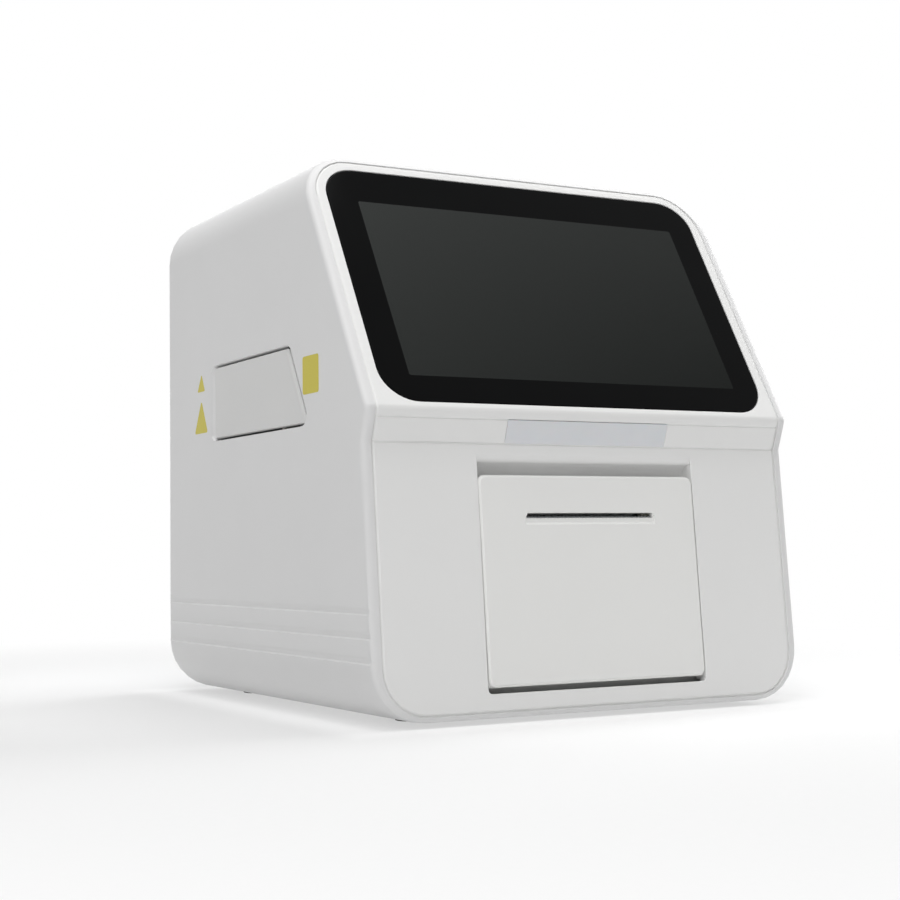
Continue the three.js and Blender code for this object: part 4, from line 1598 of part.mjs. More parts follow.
function fanRotor() {
  const rear = [move(FAN_X, FAN_BACK_Y, FAN_Z), REARWARD];
  const top = -FAN_STRUT_DEPTH - 2 * GAP;
  const bottom = top - FAN_HUB_DEPTH;
  const hub = cut(
    bar(FAN_HUB_RADIUS, FAN_HUB_DEPTH, ROUND, ...rear, move(0, 0, bottom)),
    bar(FAN_SHAFT_RADIUS + BORE_PLAY, FAN_HUB_DEPTH, SMALL_ROUND, ...rear,
      move(0, 0, top + OVERRUN - FAN_HUB_DEPTH)));
  const middle = (top + bottom) / 2;
  const section = (radius, pitch) => rectangle(FAN_BLADE_CHORD, FAN_BLADE_THICKNESS).map(
    ([a, b]) => [a * Math.cos(pitch) - b * Math.sin(pitch),
      a * Math.sin(pitch) + b * Math.cos(pitch)]);
  const rootRadius = FAN_HUB_RADIUS - OVERRUN;
  const tipRadius = FAN_BORE_RADIUS - FAN_TIP_GAP;
  const blades = Array.from({ length: FAN_BLADES }, (_, i) => stack([
    { outline: section(rootRadius, FAN_BLADE_ROOT_PITCH), height: rootRadius },
    { outline: section(tipRadius, FAN_BLADE_TIP_PITCH), height: tipRadius },
  ], ...rear, move(0, 0, middle), turnZ(2 * Math.PI * i / FAN_BLADES), SIDEWAYS));
  return join(hub, ...blades);
}

const foot = () => turned([
  [0, FOOT_DISH], [FOOT_DISH_RADIUS, FOOT_DISH], [FOOT_DISH_RADIUS + FOOT_DISH, 0],
  [FOOT_RADIUS - FOOT_EDGE, 0], [FOOT_RADIUS, FOOT_EDGE],
  [FOOT_RADIUS, FOOT_STAND + FOOT_SEAT - GAP], [0, FOOT_STAND + FOOT_SEAT - GAP]], ROUND);

// Assembly
piece('outer_shell', outerShell(), shellPlastic);
piece('front_bezel', frontBezel(), bezelPlastic);
piece('touch_glass', touchGlass(), glassBlack, screenGroup);
piece('display_module', displayModule(), darkPlastic, screenGroup);
piece('display_bracket', displayBracket(), zincSheet, screenGroup);
piece('light_bar', lightBar(), diffuser, bandGroup);
piece('led_board', ledBoard(), circuitBoard, bandGroup);

piece('printer_door', printerDoor(), bezelPlastic, lowerGroup);
piece('hinge_pin_left', hingePin(-1), steel, lowerGroup);
piece('hinge_pin_right', hingePin(1), steel, lowerGroup);
piece('tear_bar', tearBar(), darkPlastic, lowerGroup);
piece('platen_roller', platenRoller(), rubber, lowerGroup);
piece('platen_shaft', platenShaft(), steel, lowerGroup);
piece('platen_gear', platenGear(), nylon, lowerGroup);
piece('motor_pinion', motorPinion(), brassGear, lowerGroup);
piece('printer_motor', printerMotor(), steel, lowerGroup);
piece('print_frame', printFrame(), zincSheet, lowerGroup);
piece('print_head', printHead(), aluminium, lowerGroup);
piece('paper_bay', paperBay(), greyPlastic, lowerGroup);
piece('paper_roll', paperRoll(), paper, lowerGroup);

piece('drawer_front', drawerFront(), shellPlastic);
piece('cassette_tray', cassetteTray(), greyPlastic);
piece('drawer_rack', drawerRack(), nylon);
piece('rail_front', rail(-1), steel);
piece('rail_rear', rail(1), steel);
piece('drawer_pinion', drawerPinion(), brassGear);
piece('drawer_motor', drawerMotor(), steel);
piece('drawer_bridge', drawerBridge(), zincSheet);
piece('read_head', readHead(), darkPlastic);
NEST_XS.forEach((x, i) => piece(`read_lens_${i + 1}`, readLens(), lensGlass, unit,
  [x, TRAY_MIDDLE_Y, LENS_BOTTOM]));

piece('base_plate', basePlate(), zincSheet);
piece('main_board', mainBoard(), circuitBoard);
piece('power_supply', powerSupply(), circuitBoard);
piece('rear_panel', rearPanel(), zincSheet);
PANEL_SCREWS.forEach(([x, z], i) => piece(`panel_screw_${i + 1}`, panelScrew(), steel, unit,
  [x, 0, z]));
piece('power_inlet', powerInlet(), darkPlastic);
piece('switch_frame', switchFrame(), darkPlastic);
piece('power_rocker', rocker(), darkPlastic);
piece('lan_port', lanPort(), steel);
USB_X.forEach((x, i) => piece(`usb_port_${i + 1}`, usbPort(x), steel));
piece('fan_frame', fanFrame(), darkPlastic);
piece('fan_rotor', fanRotor(), darkPlastic);
for (const [name, x, y] of FOOT_PLACES) piece(name, foot(), rubber, reader, [x, y, 0]);

export default reader;
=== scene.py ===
"""Rapid test reader: finishes, fine pieces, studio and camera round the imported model.

Laid out as a Blender add-on and run as a script. Lengths are in millimetres where a name or a
comment says so and in metres elsewhere. The unit faces -Y and stands on the table at z = 0.
"""

import math

import bmesh
import bpy
from bpy.props import FloatProperty, FloatVectorProperty, IntProperty, PointerProperty
from mathutils import Matrix, Vector


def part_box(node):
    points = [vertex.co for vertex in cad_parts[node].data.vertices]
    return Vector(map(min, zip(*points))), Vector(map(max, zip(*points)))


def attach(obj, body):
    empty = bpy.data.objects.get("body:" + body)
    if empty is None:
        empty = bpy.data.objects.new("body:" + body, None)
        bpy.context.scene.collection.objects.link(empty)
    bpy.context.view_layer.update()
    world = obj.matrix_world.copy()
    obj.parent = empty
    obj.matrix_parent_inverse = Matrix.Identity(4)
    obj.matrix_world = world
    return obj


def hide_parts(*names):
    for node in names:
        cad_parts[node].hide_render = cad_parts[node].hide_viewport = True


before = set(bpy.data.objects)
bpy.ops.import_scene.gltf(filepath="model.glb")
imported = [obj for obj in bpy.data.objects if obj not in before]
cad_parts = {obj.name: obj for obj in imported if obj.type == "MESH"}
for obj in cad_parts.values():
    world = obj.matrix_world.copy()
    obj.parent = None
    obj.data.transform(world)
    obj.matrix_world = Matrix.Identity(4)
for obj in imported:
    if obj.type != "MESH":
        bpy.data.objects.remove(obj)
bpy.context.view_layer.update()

SHELL_LOW, SHELL_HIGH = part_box("outer_shell")

bl_info = {
    "name": "Rapid test reader",
    "version": (1, 0, 0),
    "blender": (4, 5, 0),
    "location": "View3D > Sidebar > Test reader",
    "description": "Finishes and fine pieces of a bench-top rapid test reader",
    "category": "Object",
}

MM = 0.001

# The camera, in the unit's frame
CAMERA_PLACE_MM = (-367.7, -656.0, 66.3)
CAMERA_YAW = math.radians(28.960)
CAMERA_PITCH = math.radians(3.357)
CAMERA_ROLL = math.radians(0.773)
CAMERA_LENS_MM = 66.75
CAMERA_SENSOR_MM = 36.0
CAMERA_CLIP = (0.01, 100.0)

# Planes of the front: a point on each in the middle of the unit, and how far it leans
SCREEN_ORIGIN_MM = (0.0, -107.71, 118.6)
SCREEN_LEAN = math.radians(-30.0)
LOWER_ORIGIN_MM = (0.0, -112.206, 2.0)
LOWER_LEAN = math.radians(-4.9)
BAND_ORIGIN_MM = (0.0, -103.281, 106.1)
BAND_LEAN = math.radians(19.51)

# Edges that are sharper than this are rounded and keep a crease in their shading
CREASE = math.radians(38.0)
WELD_DISTANCE = 0.002 * MM
FLAT_ANGLE = math.radians(0.3)
BEVEL_STEPS = 3
SHADING = "shade_up_to_creases"


def hex_to_linear(text):
    """An sRGB hex colour as the linear colour that a shader takes."""
    channels = [int(text[i:i + 2], 16) / 255 for i in (0, 2, 4)]
    linear = [c / 12.92 if c <= 0.04045 else ((c + 0.055) / 1.055) ** 2.4 for c in channels]
    return (*linear, 1.0)


def add_node(tree, kind, sockets=None, **settings):
    """Adds a shader node with its settings, its socket values and its links."""
    made = tree.nodes.new("ShaderNode" + kind)
    for name, value in settings.items():
        setattr(made, name, value)
    for socket, value in (sockets or {}).items():
        if isinstance(value, bpy.types.NodeSocket):
            tree.links.new(value, made.inputs[socket])
        else:
            made.inputs[socket].default_value = value
    return made


# Materials: each makes its nodes from values that are real sizes in millimetres

# Sockets of a Mix node that mixes colours
SHARE, FIRST, SECOND, RESULT = 0, 6, 7, 2


def cells(size_mm):
    """The scale of a pattern whose cells are this large."""
    return 1 / (size_mm * MM)


def darker(colour, share):
    """A colour with less light in it."""
    return (*[channel * share for channel in colour[:3]], 1.0)


def start_material(name):
    """A new material, its node tree and the place of each point on the unit."""
    made = bpy.data.materials.new(name)
    made.use_nodes = True
    tree = made.node_tree
    tree.nodes.clear()
    place = add_node(tree, "TexCoord").outputs["Object"]
    return made, tree, place


def end_material(made, tree, tone, gloss, relief=None, **plain):
    """Ends a material with its surface shader.

    The tone is a pattern and the two colours that it blends, the gloss a pattern and the
    roughness at its low and high end, and the relief a pattern, its depth in millimetres and
    its strength. Plain values go on the shader's own sockets.
    """
    pattern, first, second = tone
    mixed = add_node(
        tree, "Mix", {SHARE: pattern, FIRST: first, SECOND: second}, data_type="RGBA")
    pattern, low, high = gloss
    ranged = add_node(tree, "MapRange", {"Value": pattern, "To Min": low, "To Max": high})
    sockets = {name.replace("_", " "): value for name, value in plain.items()}
    sockets.update({"Base Color": mixed.outputs[RESULT], "Roughness": ranged.outputs[0]})
    if relief:
        pattern, depth_mm, strength = relief
        bump = add_node(tree, "Bump", {
            "Height": pattern, "Distance": depth_mm * MM, "Strength": strength})
        sockets["Normal"] = bump.outputs[0]
    surface = add_node(tree, "BsdfPrincipled", sockets)
    add_node(tree, "OutputMaterial", {"Surface": surface.outputs[0]})
    return made


def moulded(name, colour, clouds, roughness, grain_mm, grain_depth_mm, level=0.5, cloud_mm=40.0):
    """Moulded plastic: a faintly cloudy colour under the grain that the mould gives."""
    made, tree, place = start_material(name)
    cloud = add_node(tree, "TexNoise", {"Vector": place, "Scale": cells(cloud_mm), "Detail": 3.0})
    grain = add_node(tree, "TexNoise", {
        "Vector": place, "Scale": cells(grain_mm), "Detail": 2.0, "Roughness": 0.6})
    return end_material(
        made, tree, tone=(cloud.outputs[0], darker(colour, clouds), colour),
        gloss=(grain.outputs[0], roughness - 0.08, roughness + 0.08),
        relief=(grain.outputs[0], grain_depth_mm, 0.5), Specular_IOR_Level=level, IOR=1.53)


def metal(name, colour, dull, roughness, line_mm, stretch, depth_mm=0.004):
    """Worked metal: fine lines along one axis of the piece, or an even grit."""
    made, tree, place = start_material(name)
    scaled = add_node(tree, "Mapping", {"Vector": place, "Scale": stretch})
    lines = add_node(tree, "TexNoise", {
        "Vector": scaled.outputs[0], "Scale": cells(line_mm), "Detail": 4.0, "Roughness": 0.65})
    return end_material(
        made, tree, tone=(lines.outputs[0], darker(colour, dull), colour),
        gloss=(lines.outputs[0], roughness - 0.1, roughness + 0.1),
        relief=(lines.outputs[0], depth_mm, 0.4), Metallic=1.0)


def coated_glass(smear_mm=25.0):
    """Toughened glass with a black print behind it. The coating keeps it almost free of glare."""
    made, tree, place = start_material("toughened_glass_black_print")
    smear = add_node(tree, "TexNoise", {"Vector": place, "Scale": cells(smear_mm), "Detail": 4.0})
    return end_material(
        made, tree, tone=(smear.outputs[0], hex_to_linear("0b0b0c"), hex_to_linear("0e0f0f")),
        gloss=(smear.outputs[0], 0.05, 0.12), Specular_IOR_Level=0.025, IOR=1.52)


# Half the display's width, and the heights between which a painted reflection makes its grey paler
DISPLAY_HALF_MM = 77.0
PAINTED_REFLECTION_LEVELS_MM = (130.0, 210.0)


def dark_display(smear_mm=30.0):
    """A switched-off display under the glass: a grey polariser, made paler to its upper left by a
    painted reflection.
    """
    made, tree, place = start_material("liquid_crystal_display_polariser")
    split = add_node(tree, "SeparateXYZ", {"Vector": place})
    across = add_node(tree, "MapRange", {
        "Value": split.outputs["X"], "From Min": -DISPLAY_HALF_MM * MM,
        "From Max": DISPLAY_HALF_MM * MM, "To Min": 1.0, "To Max": 0.0})
    low, high = PAINTED_REFLECTION_LEVELS_MM
    up = add_node(tree, "MapRange", {
        "Value": split.outputs["Z"], "From Min": low * MM, "From Max": high * MM,
        "To Min": 0.0, "To Max": 1.0})
    both = add_node(tree, "Math", {0: across.outputs[0], 1: up.outputs[0]}, operation="ADD")
    half = add_node(tree, "Math", {0: both.outputs[0], 1: 0.5}, operation="MULTIPLY")
    smear = add_node(tree, "TexNoise", {"Vector": place, "Scale": cells(smear_mm), "Detail": 3.0})
    # Painted reflection: the grey gets paler toward the left and toward the top of the display
    return end_material(
        made, tree, tone=(half.outputs[0], hex_to_linear("1c1e1d"), hex_to_linear("383a39")),
        gloss=(smear.outputs[0], 0.16, 0.24), Specular_IOR_Level=0.025, IOR=1.5)


def frosted(milk_mm=9.0, grain_mm=0.3, grain_depth_mm=0.006, light_depth_mm=0.8):
    """Frosted polycarbonate: a cool milky white with a soft depth."""
    made, tree, place = start_material("polycarbonate_frosted")
    milk = add_node(tree, "TexNoise", {"Vector": place, "Scale": cells(milk_mm), "Detail": 2.0})
    grain = add_node(tree, "TexNoise", {"Vector": place, "Scale": cells(grain_mm)})
    return end_material(
        made, tree, tone=(milk.outputs[0], hex_to_linear("dadce0"), hex_to_linear("dfe1e4")),
        gloss=(grain.outputs[0], 0.3, 0.42), relief=(grain.outputs[0], grain_depth_mm, 0.4),
        Subsurface_Weight=0.15, Subsurface_Scale=light_depth_mm * MM, IOR=1.58)


def zinc_sheet(crystal_mm=5.0, scratch_mm=0.5, scratch_depth_mm=0.005):
    """Hot-dip zinc on steel sheet: crystals of a few millimetres, each a little different."""
    made, tree, place = start_material("steel_sheet_hot_dip_zinc")
    crystal = add_node(tree, "TexVoronoi", {"Vector": place, "Scale": cells(crystal_mm)})
    split = add_node(tree, "SeparateColor", {"Color": crystal.outputs["Color"]})
    scratch = add_node(tree, "TexNoise", {"Vector": place, "Scale": cells(scratch_mm)})
    return end_material(
        made, tree, tone=(split.outputs[0], hex_to_linear("a5a9ad"), hex_to_linear("c6c9cc")),
        gloss=(split.outputs[1], 0.32, 0.5), relief=(scratch.outputs[0], scratch_depth_mm, 0.3),
        Metallic=1.0)


def circuit_board(trace_mm=12.0, via_mm=4.0, trace_depth_mm=0.035):
    """Glass-epoxy board under green solder mask: darker laminate between raised traces."""
    made, tree, place = start_material("glass_epoxy_green_solder_mask")
    turned = add_node(tree, "Mapping", {"Vector": place, "Rotation": (0, 0, math.radians(45))})
    traces = add_node(tree, "TexBrick", {
        "Vector": place, "Scale": cells(trace_mm), "Mortar Size": 0.035, "Mortar Smooth": 0.1,
        "Brick Width": 0.9, "Row Height": 0.16})
    vias = add_node(tree, "TexVoronoi", {"Vector": turned.outputs[0], "Scale": cells(via_mm)})
    dots = add_node(tree, "Math", {0: vias.outputs["Distance"], 1: 0.11}, operation="LESS_THAN")
    both = add_node(
        tree, "Math", {0: traces.outputs["Fac"], 1: dots.outputs[0]}, operation="MAXIMUM")
    return end_material(
        made, tree, tone=(both.outputs[0], hex_to_linear("16452b"), hex_to_linear("2c7148")),
        gloss=(both.outputs[0], 0.42, 0.3), relief=(both.outputs[0], trace_depth_mm, 0.6),
        IOR=1.55)


def paper_stock(fibre_mm=0.35, turn_mm=6.0, depth_mm=0.02):
    """Thermal paper on its roll: faint edges of the turns, matt on the outside."""
    made, tree, place = start_material("thermal_paper_wound")
    fibre = add_node(tree, "TexNoise", {
        "Vector": place, "Scale": cells(fibre_mm), "Detail": 5.0, "Roughness": 0.7})
    turns = add_node(tree, "TexWave", {
        "Vector": place, "Scale": cells(turn_mm), "Distortion": 1.5, "Detail": 2.0},
        wave_type="RINGS", rings_direction="X")
    both = add_node(
        tree, "Math", {0: fibre.outputs[0], 1: turns.outputs[1]}, operation="MULTIPLY")
    return end_material(
        made, tree, tone=(both.outputs[0], hex_to_linear("e3e2dc"), hex_to_linear("f3f2ed")),
        gloss=(fibre.outputs[0], 0.7, 0.9), relief=(both.outputs[0], depth_mm, 0.5), IOR=1.5)


def optical_glass(haze_mm=3.0):
    """Ground lens glass with a violet anti-reflection coating, whose reflection is painted into its
    colour: dark blue face on, violet toward grazing views.
    """
    made, tree, place = start_material("optical_glass_coated")
    painted_coating_sheen = add_node(tree, "LayerWeight", {"Blend": 0.35})
    haze = add_node(tree, "TexNoise", {"Vector": place, "Scale": cells(haze_mm)})
    return end_material(
        # Painted reflection: the colour follows the angle at which the lens is seen
        made, tree,
        tone=(painted_coating_sheen.outputs["Facing"], hex_to_linear("1b2238"), hex_to_linear("53407a")),
        gloss=(haze.outputs[0], 0.03, 0.07), Coat_Weight=1.0, IOR=1.6)


def sticker_film(colour, ink_mm=0.8, peel_mm=1.6, peel_depth_mm=0.01):
    """Printed vinyl film: an even colour with a faint orange-peel gloss."""
    made, tree, place = start_material("vinyl_film_yellow_printed")
    ink = add_node(tree, "TexNoise", {"Vector": place, "Scale": cells(ink_mm), "Detail": 3.0})
    peel = add_node(tree, "TexNoise", {"Vector": place, "Scale": cells(peel_mm)})
    return end_material(
        made, tree, tone=(ink.outputs[0], darker(colour, 0.88), colour),
        gloss=(peel.outputs[0], 0.35, 0.45), relief=(peel.outputs[0], peel_depth_mm, 0.4),
        IOR=1.5)


# How a metal's pattern is stretched where it is an even grit
EVEN = (1.0, 1.0, 1.0)
FINISHES = {}


def make_finishes(colours):
    """Every finish by its name. Most names are the slots of the unit's record."""
    white = hex_to_linear("f0f0f0")
    FINISHES.update({
        # The spark-eroded mould leaves a fine matt grain that breaks up every highlight
        "shell": moulded("abs_light_grey_spark_eroded", colours.shell, 0.96, 0.5, 0.45, 0.02),
        # A finer grain than the shell's, so the bezel looks a little smoother and whiter
        "bezel": moulded("abs_white_fine_grain", colours.bezel, 0.97, 0.45, 0.35, 0.012),
        "door": moulded("abs_white_door_fine_grain", colours.door, 0.97, 0.45, 0.35, 0.012),
        # Inside the door: the same plastic with a coarser grain, in a darker colour that is painted
        # shade for the inside of the bay
        "bay_white_painted_shade": moulded(
            "abs_bay_coarse_grain_painted_shade", hex_to_linear("e2e2e1"), 0.95, 0.55, 0.7, 0.03),
        "drawer_face": moulded("abs_drawer_spark_eroded", colours.drawer, 0.96, 0.48, 0.4, 0.015),
        "screen_glass": coated_glass(),
        "display": dark_display(),
        "diffuser": frosted(),
        # Coarse dark moulding: the light catches the grain and greys the black
        "dark_plastic": moulded(
            "abs_black_moulded", hex_to_linear("2c2d2f"), 0.7, 0.5, 0.5, 0.02),
        # Glass fibre near the surface gives a dull, slightly streaked grey
        "grey_plastic": moulded(
            "polyamide_glass_filled_grey", hex_to_linear("93979a"), 0.8, 0.55, 0.6, 0.02),
        "board": circuit_board(),
        # Moulded rubber: almost no gloss, dusty black
        "rubber": moulded(
            "nitrile_rubber_moulded", hex_to_linear("232323"), 0.6, 0.85, 0.7, 0.03, 0.3),
        # Turned along X: fine rings round the shafts and pins
        "steel": metal(
            "steel_turned", hex_to_linear("c9cbce"), 0.7, 0.28, 0.5, (8.0, 1.0, 1.0)),
        # Drawn tinplate: bright, with faint lines of the drawing
        "tinplate": metal(
            "tinplate_drawn", hex_to_linear("d6d7d8"), 0.75, 0.25, 0.8, (1.0, 0.15, 1.0)),
        "zinc_sheet": zinc_sheet(),
        # Extruded profile: long streaks along the depth of the unit
        "aluminium": metal(
            "aluminium_extruded", hex_to_linear("d2d4d6"), 0.75, 0.35, 0.6, (1.0, 0.1, 1.0)),
        # Hobbed teeth: an even fine tool grit
        "brass": metal("brass_hobbed", hex_to_linear("d0ac5c"), 0.65, 0.3, 0.3, EVEN),
        # Acetal: waxy off-white, smooth from a polished mould
        "nylon": moulded(
            "acetal_polished_mould", hex_to_linear("ece8dc"), 0.93, 0.38, 0.8, 0.008),
        "paper": paper_stock(),
        "lens": optical_glass(),
        "sticker": sticker_film(colours.sticker),
        # Epoxy moulding compound: matt charcoal with a fine sparkle of filler
        "chip": moulded(
            "epoxy_chip_compound", hex_to_linear("2b2b2d"), 0.6, 0.6, 0.25, 0.01),
        # Gold over nickel on contacts: bright and even
        "gold": metal("gold_flash_plated", hex_to_linear("e6c169"), 0.75, 0.22, 0.3, EVEN),
        # Shrunk sleeve of a capacitor: thin film with a soft sheen
        "sleeve": moulded(
            "shrink_sleeve_dark_blue", hex_to_linear("26365a"), 0.7, 0.35, 1.2, 0.01),
        # Polyester tape wound on a coil: an even translucent amber
        "tape": moulded(
            "polyester_tape_wound", hex_to_linear("d8b23a"), 0.8, 0.35, 0.9, 0.01),
        # Sintered alumina: a hard white with a fine matt grain
        "ceramic": moulded("alumina_sintered", white, 0.92, 0.4, 0.25, 0.006),
        # Pad printing: a thin matt white ink film
        "white_ink": moulded("pad_print_white", white, 0.95, 0.5, 0.3, 0.004),
    })


# Objects and meshes

# Nodes whose flats have holes right through them: they keep their facets, as one face round
# many holes can't be filled cleanly once its edges are rounded
PIERCED = ("outer_shell", "printer_door", "rear_panel")


def shading_group():
    """Drops the solid's facet normals and shades it smooth up to its creases."""
    group = bpy.data.node_groups.new(SHADING, "GeometryNodeTree")
    group.interface.new_socket("Mesh", in_out="INPUT", socket_type="NodeSocketGeometry")
    group.interface.new_socket("Mesh", in_out="OUTPUT", socket_type="NodeSocketGeometry")
    start = group.nodes.new("NodeGroupInput")
    angle = group.nodes.new("GeometryNodeInputMeshEdgeAngle")
    sharp = group.nodes.new("FunctionNodeCompare")
    sharp.operation = "GREATER_THAN"
    sharp.inputs[1].default_value = CREASE
    normals = group.nodes.new("GeometryNodeSetMeshNormal")
    normals.inputs["Remove Custom"].default_value = True
    end = group.nodes.new("NodeGroupOutput")
    group.links.new(angle.outputs["Unsigned Angle"], sharp.inputs[0])
    group.links.new(start.outputs[0], normals.inputs["Mesh"])
    group.links.new(sharp.outputs[0], normals.inputs["Edge Sharpness"])
    group.links.new(normals.outputs[0], end.inputs[0])
    return group


def soften(piece, radius_mm):
    """Joins a solid's facets, rounds its sharp edges and shades its curves smooth."""
    weld = piece.modifiers.new("joined_facets", "WELD")
    weld.merge_threshold = WELD_DISTANCE
    if piece.name not in PIERCED:
        flats = piece.modifiers.new("whole_flats", "DECIMATE")
        flats.decimate_type = "DISSOLVE"
        flats.angle_limit = FLAT_ANGLE
        flats.delimit = {"MATERIAL"}
    if radius_mm:
        bevel = piece.modifiers.new("rounded_edges", "BEVEL")
        bevel.width = radius_mm * MM
        bevel.segments = BEVEL_STEPS
        bevel.limit_method = "ANGLE"
        bevel.angle_limit = CREASE
        bevel.use_clamp_overlap = False
        bevel.miter_outer = "MITER_ARC"
    shade = piece.modifiers.new("shading", "NODES")
    shade.node_group = bpy.data.node_groups.get(SHADING) or shading_group()
    weigh = piece.modifiers.new("flat_faces_lead", "WEIGHTED_NORMAL")
    weigh.keep_sharp = True


def add_object(name, data):
    """An object in the scene, from its mesh, its lamp or its lens."""
    made = bpy.data.objects.new(name, data)
    bpy.context.scene.collection.objects.link(made)
    return made


def mesh_of(name, form):
    """The mesh of a filled bmesh, which is freed."""
    mesh = bpy.data.meshes.new(name)
    form.to_mesh(mesh)
    form.free()
    return mesh


def new_piece(name, form, finishes, body, radius_mm=0.0):
    """A piece from a filled bmesh, with its finishes, on a CAD body."""
    bmesh.ops.recalc_face_normals(form, faces=form.faces)
    piece = add_object(name, mesh_of(name, form))
    for finish in finishes:
        piece.data.materials.append(FINISHES[finish])
    soften(piece, radius_mm)
    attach(piece, body)
    return piece


def plane_matrix(origin_mm, lean):
    """Places a plane's own frame (X across, Y into the unit, Z up the slope), in metres."""
    return Matrix.Translation(Vector(origin_mm) * MM) @ Matrix.Rotation(lean, 4, "X")


def rounded_outline(left, right, low, high, radius, steps):
    """A rectangle with arcs in its corners, anticlockwise."""
    corners = [(right, low, -90), (right, high, 0), (left, high, 90), (left, low, 180)]
    points = []
    for x, z, start in corners:
        centre_x = x - radius if x == right else x + radius
        centre_z = z - radius if z == high else z + radius
        for i in range(steps + 1):
            angle = math.radians(start + 90 * i / steps)
            points.append((centre_x + radius * math.cos(angle),
                           centre_z + radius * math.sin(angle)))
    return points


def rounded_corners(corners, radius, steps):
    """Any convex outline with arcs in its corners, anticlockwise."""
    points = []
    count = len(corners)
    for i, corner in enumerate(corners):
        here = Vector(corner)
        back = (Vector(corners[i - 1]) - here).normalized()
        ahead = (Vector(corners[(i + 1) % count]) - here).normalized()
        half = back.angle(ahead) / 2
        centre = here + (back + ahead).normalized() * radius / math.sin(half)
        first = math.atan2(-back.x, back.y) + math.pi
        sweep = math.pi - 2 * half
        for k in range(steps + 1):
            angle = first + sweep * k / steps
            points.append((centre.x + radius * math.cos(angle),
                           centre.y + radius * math.sin(angle)))
    return points


def skin_rings(form, rings, is_loop=False):
    """Joins rings of equal point counts with quads, then closes the ends or joins them."""
    made = [[form.verts.new(point) for point in ring] for ring in rings]
    count = len(made[0])
    ahead = made[1:] + made[:1] if is_loop else made[1:]
    for low, high in zip(made, ahead):
        for i in range(count):
            j = (i + 1) % count
            form.faces.new((low[i], low[j], high[j], high[i]))
    if not is_loop:
        form.faces.new(list(reversed(made[0])))
        form.faces.new(made[-1])


def add_block(form, low_mm, high_mm, matrix=Matrix.Identity(4), finish=0):
    """A box between two corners, in millimetres of the frame that the matrix places."""
    middle = [(a + b) / 2 * MM for a, b in zip(low_mm, high_mm)]
    size = [(b - a) * MM for a, b in zip(low_mm, high_mm)]
    place = matrix @ Matrix.Translation(middle) @ Matrix.Diagonal((*size, 1.0))
    made = bmesh.ops.create_cube(form, size=1.0, matrix=place)
    for face in {face for vert in made["verts"] for face in vert.link_faces}:
        face.material_index = finish


def turned_ring(place, radius_mm, height_mm, facets, is_hexagon=False):
    """Points round the place's Z, on a circle or on a hexagon of that inner radius."""
    ring = []
    for i in range(facets):
        angle = 2 * math.pi * i / facets
        bent = (angle + math.pi / 6) % (math.pi / 3) - math.pi / 6
        reach = radius_mm / math.cos(bent) if is_hexagon else radius_mm
        point = Vector((reach * math.cos(angle), reach * math.sin(angle), height_mm))
        ring.append(place @ (point * MM))
    return ring


def dress(table):
    """Gives each CAD node of a table its finish and rounded edges."""
    for name, (finish, radius_mm) in table.items():
        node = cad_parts[name]
        node.material_slots[0].material = FINISHES[finish]
        soften(node, radius_mm)


# CAD nodes of each group, with their finish and the radius of their edges in millimetres. The
# touch glass and the light bar aren't here, as fine pieces replace them

HOUSING_NODES = {
    "outer_shell": ("shell", 0.12),
    "front_bezel": ("bezel", 0.3),
    "rear_panel": ("zinc_sheet", 0.12),
    "base_plate": ("zinc_sheet", 0.2),
    **{f"panel_screw_{i}": ("steel", 0.08) for i in range(1, 5)},
    **{f"foot_{end}_{side}": ("rubber", 0.25)
       for end in ("front", "rear") for side in ("left", "right")},
}
SCREEN_NODES = {
    "display_module": ("dark_plastic", 0.1),
    "display_bracket": ("zinc_sheet", 0.15),
    "led_board": ("board", 0.06),
}
PRINTER_NODES = {
    "printer_door": ("door", 0.25),
    "hinge_pin_left": ("steel", 0.1),
    "hinge_pin_right": ("steel", 0.1),
    "tear_bar": ("grey_plastic", 0.04),
    "platen_roller": ("rubber", 0.15),
    "platen_shaft": ("steel", 0.15),
    "platen_gear": ("nylon", 0.06),
    "motor_pinion": ("brass", 0.05),
    "printer_motor": ("tinplate", 0.25),
    "print_frame": ("zinc_sheet", 0.15),
    "print_head": ("aluminium", 0.12),
    "paper_bay": ("bay_white_painted_shade", 0.2),
    "paper_roll": ("paper", 0.15),
}
DRAWER_NODES = {
    "drawer_front": ("drawer_face", 0.15),
    "cassette_tray": ("grey_plastic", 0.25),
    "drawer_rack": ("nylon", 0.08),
    "drawer_pinion": ("brass", 0.06),
    "rail_front": ("steel", 0.15),
    "rail_rear": ("steel", 0.15),
    "drawer_motor": ("tinplate", 0.25),
    "drawer_bridge": ("zinc_sheet", 0.15),
    "read_head": ("dark_plastic", 0.3),
    **{f"read_lens_{i}": ("lens", 0.1) for i in range(1, 4)},
}
BOARD_NODES = {
    "main_board": ("board", 0.08),
    "power_supply": ("board", 0.08),
}
SOCKET_NODES = {
    "power_inlet": ("dark_plastic", 0.12),
    "switch_frame": ("dark_plastic", 0.1),
    "power_rocker": ("dark_plastic", 0.15),
    "lan_port": ("tinplate", 0.12),
    "usb_port_1": ("tinplate", 0.1),
    "usb_port_2": ("tinplate", 0.1),
}
FAN_NODES = {
    "fan_frame": ("dark_plastic", 0.15),
    "fan_rotor": ("dark_plastic", 0.1),
}


# Sizes and colours that a user may change


def length(name, description, millimetres):
    """A length property with a default in millimetres."""
    return FloatProperty(
        name=name, description=description, default=millimetres * MM, min=0.0, unit="LENGTH")


def colour(name, description, text):
    """A colour property with a hex default."""
    return FloatVectorProperty(
        name=name, description=description, default=hex_to_linear(text), size=4, min=0.0,
        max=1.0, subtype="COLOR")


def level(name, description, share, **limits):
    """A light level property, as a share of white."""
    return FloatProperty(
        name=name, description=description, default=share, min=0.0, subtype="FACTOR", **limits)


